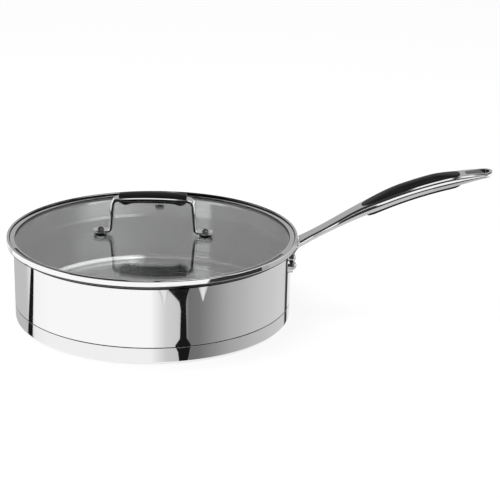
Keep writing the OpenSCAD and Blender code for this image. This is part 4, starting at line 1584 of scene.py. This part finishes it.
wall_board("left_wedge", [
    (60, 8.3, 8.6), (65, 7.7, 9), (70, 7.2, 9.6), (76, 6.2, 9.9), (82, 4.5, 10)], pale_edges)
wall_board("right_wedge", [
    (63, 23.3, 23.6), (69, 22.6, 24.4), (76, 21.7, 25.4), (82, 21.2, 27)], pale_edges)
front_start = -seen_on_floor(0, 2, 0.3)[1] - wall_r
print("the front board starts", round(front_start, 1), "mm in front of the wall")

# %% [markdown]
# The rest of the room is a long tunnel of boards that runs left to right: a grey back
# wall, which lies over the glass like a veil, a dark ceiling with two bright windows,
# and a dark front, where the photographer stands. Five flat boards lie in front of
# the pan and round the long handle, one of them in the air beside the grip, and a
# sector of the floor behind the pan has tones of its own. Their only job is to give
# each rounded edge its light line and its dark one.

# %% Tunnel of boards
TUNNEL_R = 2400
TUNNEL_HALF = 4000
WINDOW_R = TUNNEL_R - 50


def tunnel_board(name, radius, left, right, first, last, tones):
    """A curved board round the X axis, between two angles up from the back of the floor."""
    def place(u, v):
        turn = math.radians(first + (last - first) * u)
        return (left + (right - left) * v, radius * math.cos(turn), 5 + radius * math.sin(turn))
    return board(name, 90, 8, place, shares(tones, first, last))


tunnel_board("tunnel", TUNNEL_R, -TUNNEL_HALF, TUNNEL_HALF, 0, 180, [
    (0, 0.05), (1.2, 0.05), (1.6, 0.47), (12, 0.42), (28, 0.42), (36, 0.3), (44, 0.04),
    (180, 0.04)])
tunnel_board("handle_window", WINDOW_R, 250, 2500, 92, 134, [
    (92, 0.3), (96, 1), (130, 1), (134, 0.3)])
tunnel_board("lid_window", WINDOW_R, -420, 60, 88, 118, [
    (88, 0.3), (91, 1), (115, 1), (118, 0.3)])

# %% Flat boards in front of the pan and round the handle
BESIDE_GRIP = 72


def floor_board(name, left, right, near, far, grey, lift):
    """A level board between two distances in front of the object's middle."""
    def place(u, v):
        return (left + (right - left) * u, -near - (far - near) * v, lift)
    return board(name, 8, 8, place, [(0, grey), (1, grey)])


floor_board("far_floor", -1500, 2500, 760, TUNNEL_R, 0.05, 1)
floor_board("handle_front", 190, 1200, 600, 760, 0.05, 1)
floor_board("neck_near", 190, 440, 20, 290, 0.03, 0.2)
floor_board("grip_near", 195, 420, 45, 150, 0.03, BESIDE_GRIP)
floor_board("under_handle", 150, 460, -260, 65, 0.5, 0.2)

# %% Sector of the floor behind the pan
BACK_FIRST = 112
BACK_SPAN = 136
BACK_GAP = 8
BACK_DEPTH = 300
BACK_LIFT = 0.1


def back_place(u, v):
    turn = math.radians(BACK_FIRST + BACK_SPAN * u)
    reach = wall_r + BACK_GAP + BACK_DEPTH * v
    return (reach * math.sin(turn), -reach * math.cos(turn), BACK_LIFT)


board("back_board", 90, 6, back_place, [
    (0, 0.6), (0.1, 1), (0.36, 1), (0.4, 0.65), (0.46, 0.6), (0.465, 0.02), (0.49, 0.02),
    (0.5, 0.2), (0.62, 0.45), (0.8, 0.62), (0.9, 0.95), (1, 0.6)])

# %% [markdown]
# One wide area lamp hangs above the pan, a little to the left and in front. It gives
# the floor the soft shadow at the right of the pan. The camera and the reflections
# don't see it, because a bright square on the steel would show where it hangs.

# %% Soft light from above
WINDOW_POWER = 10
bpy.ops.object.light_add(type="AREA", location=(-0.5, -0.3, 1.6))
lamp = bpy.context.object
lamp.name = "window"
lamp.data.shape = "RECTANGLE"
lamp.data.size = 1.6
lamp.data.size_y = 0.9
lamp.data.energy = WINDOW_POWER
lamp.rotation_euler = (math.radians(-10), math.radians(-17), 0)
lamp.visible_camera = False
lamp.visible_glossy = False
print("the window lamp gives", WINDOW_POWER, "watts; the room's soft light is", ROOM_LIGHT)
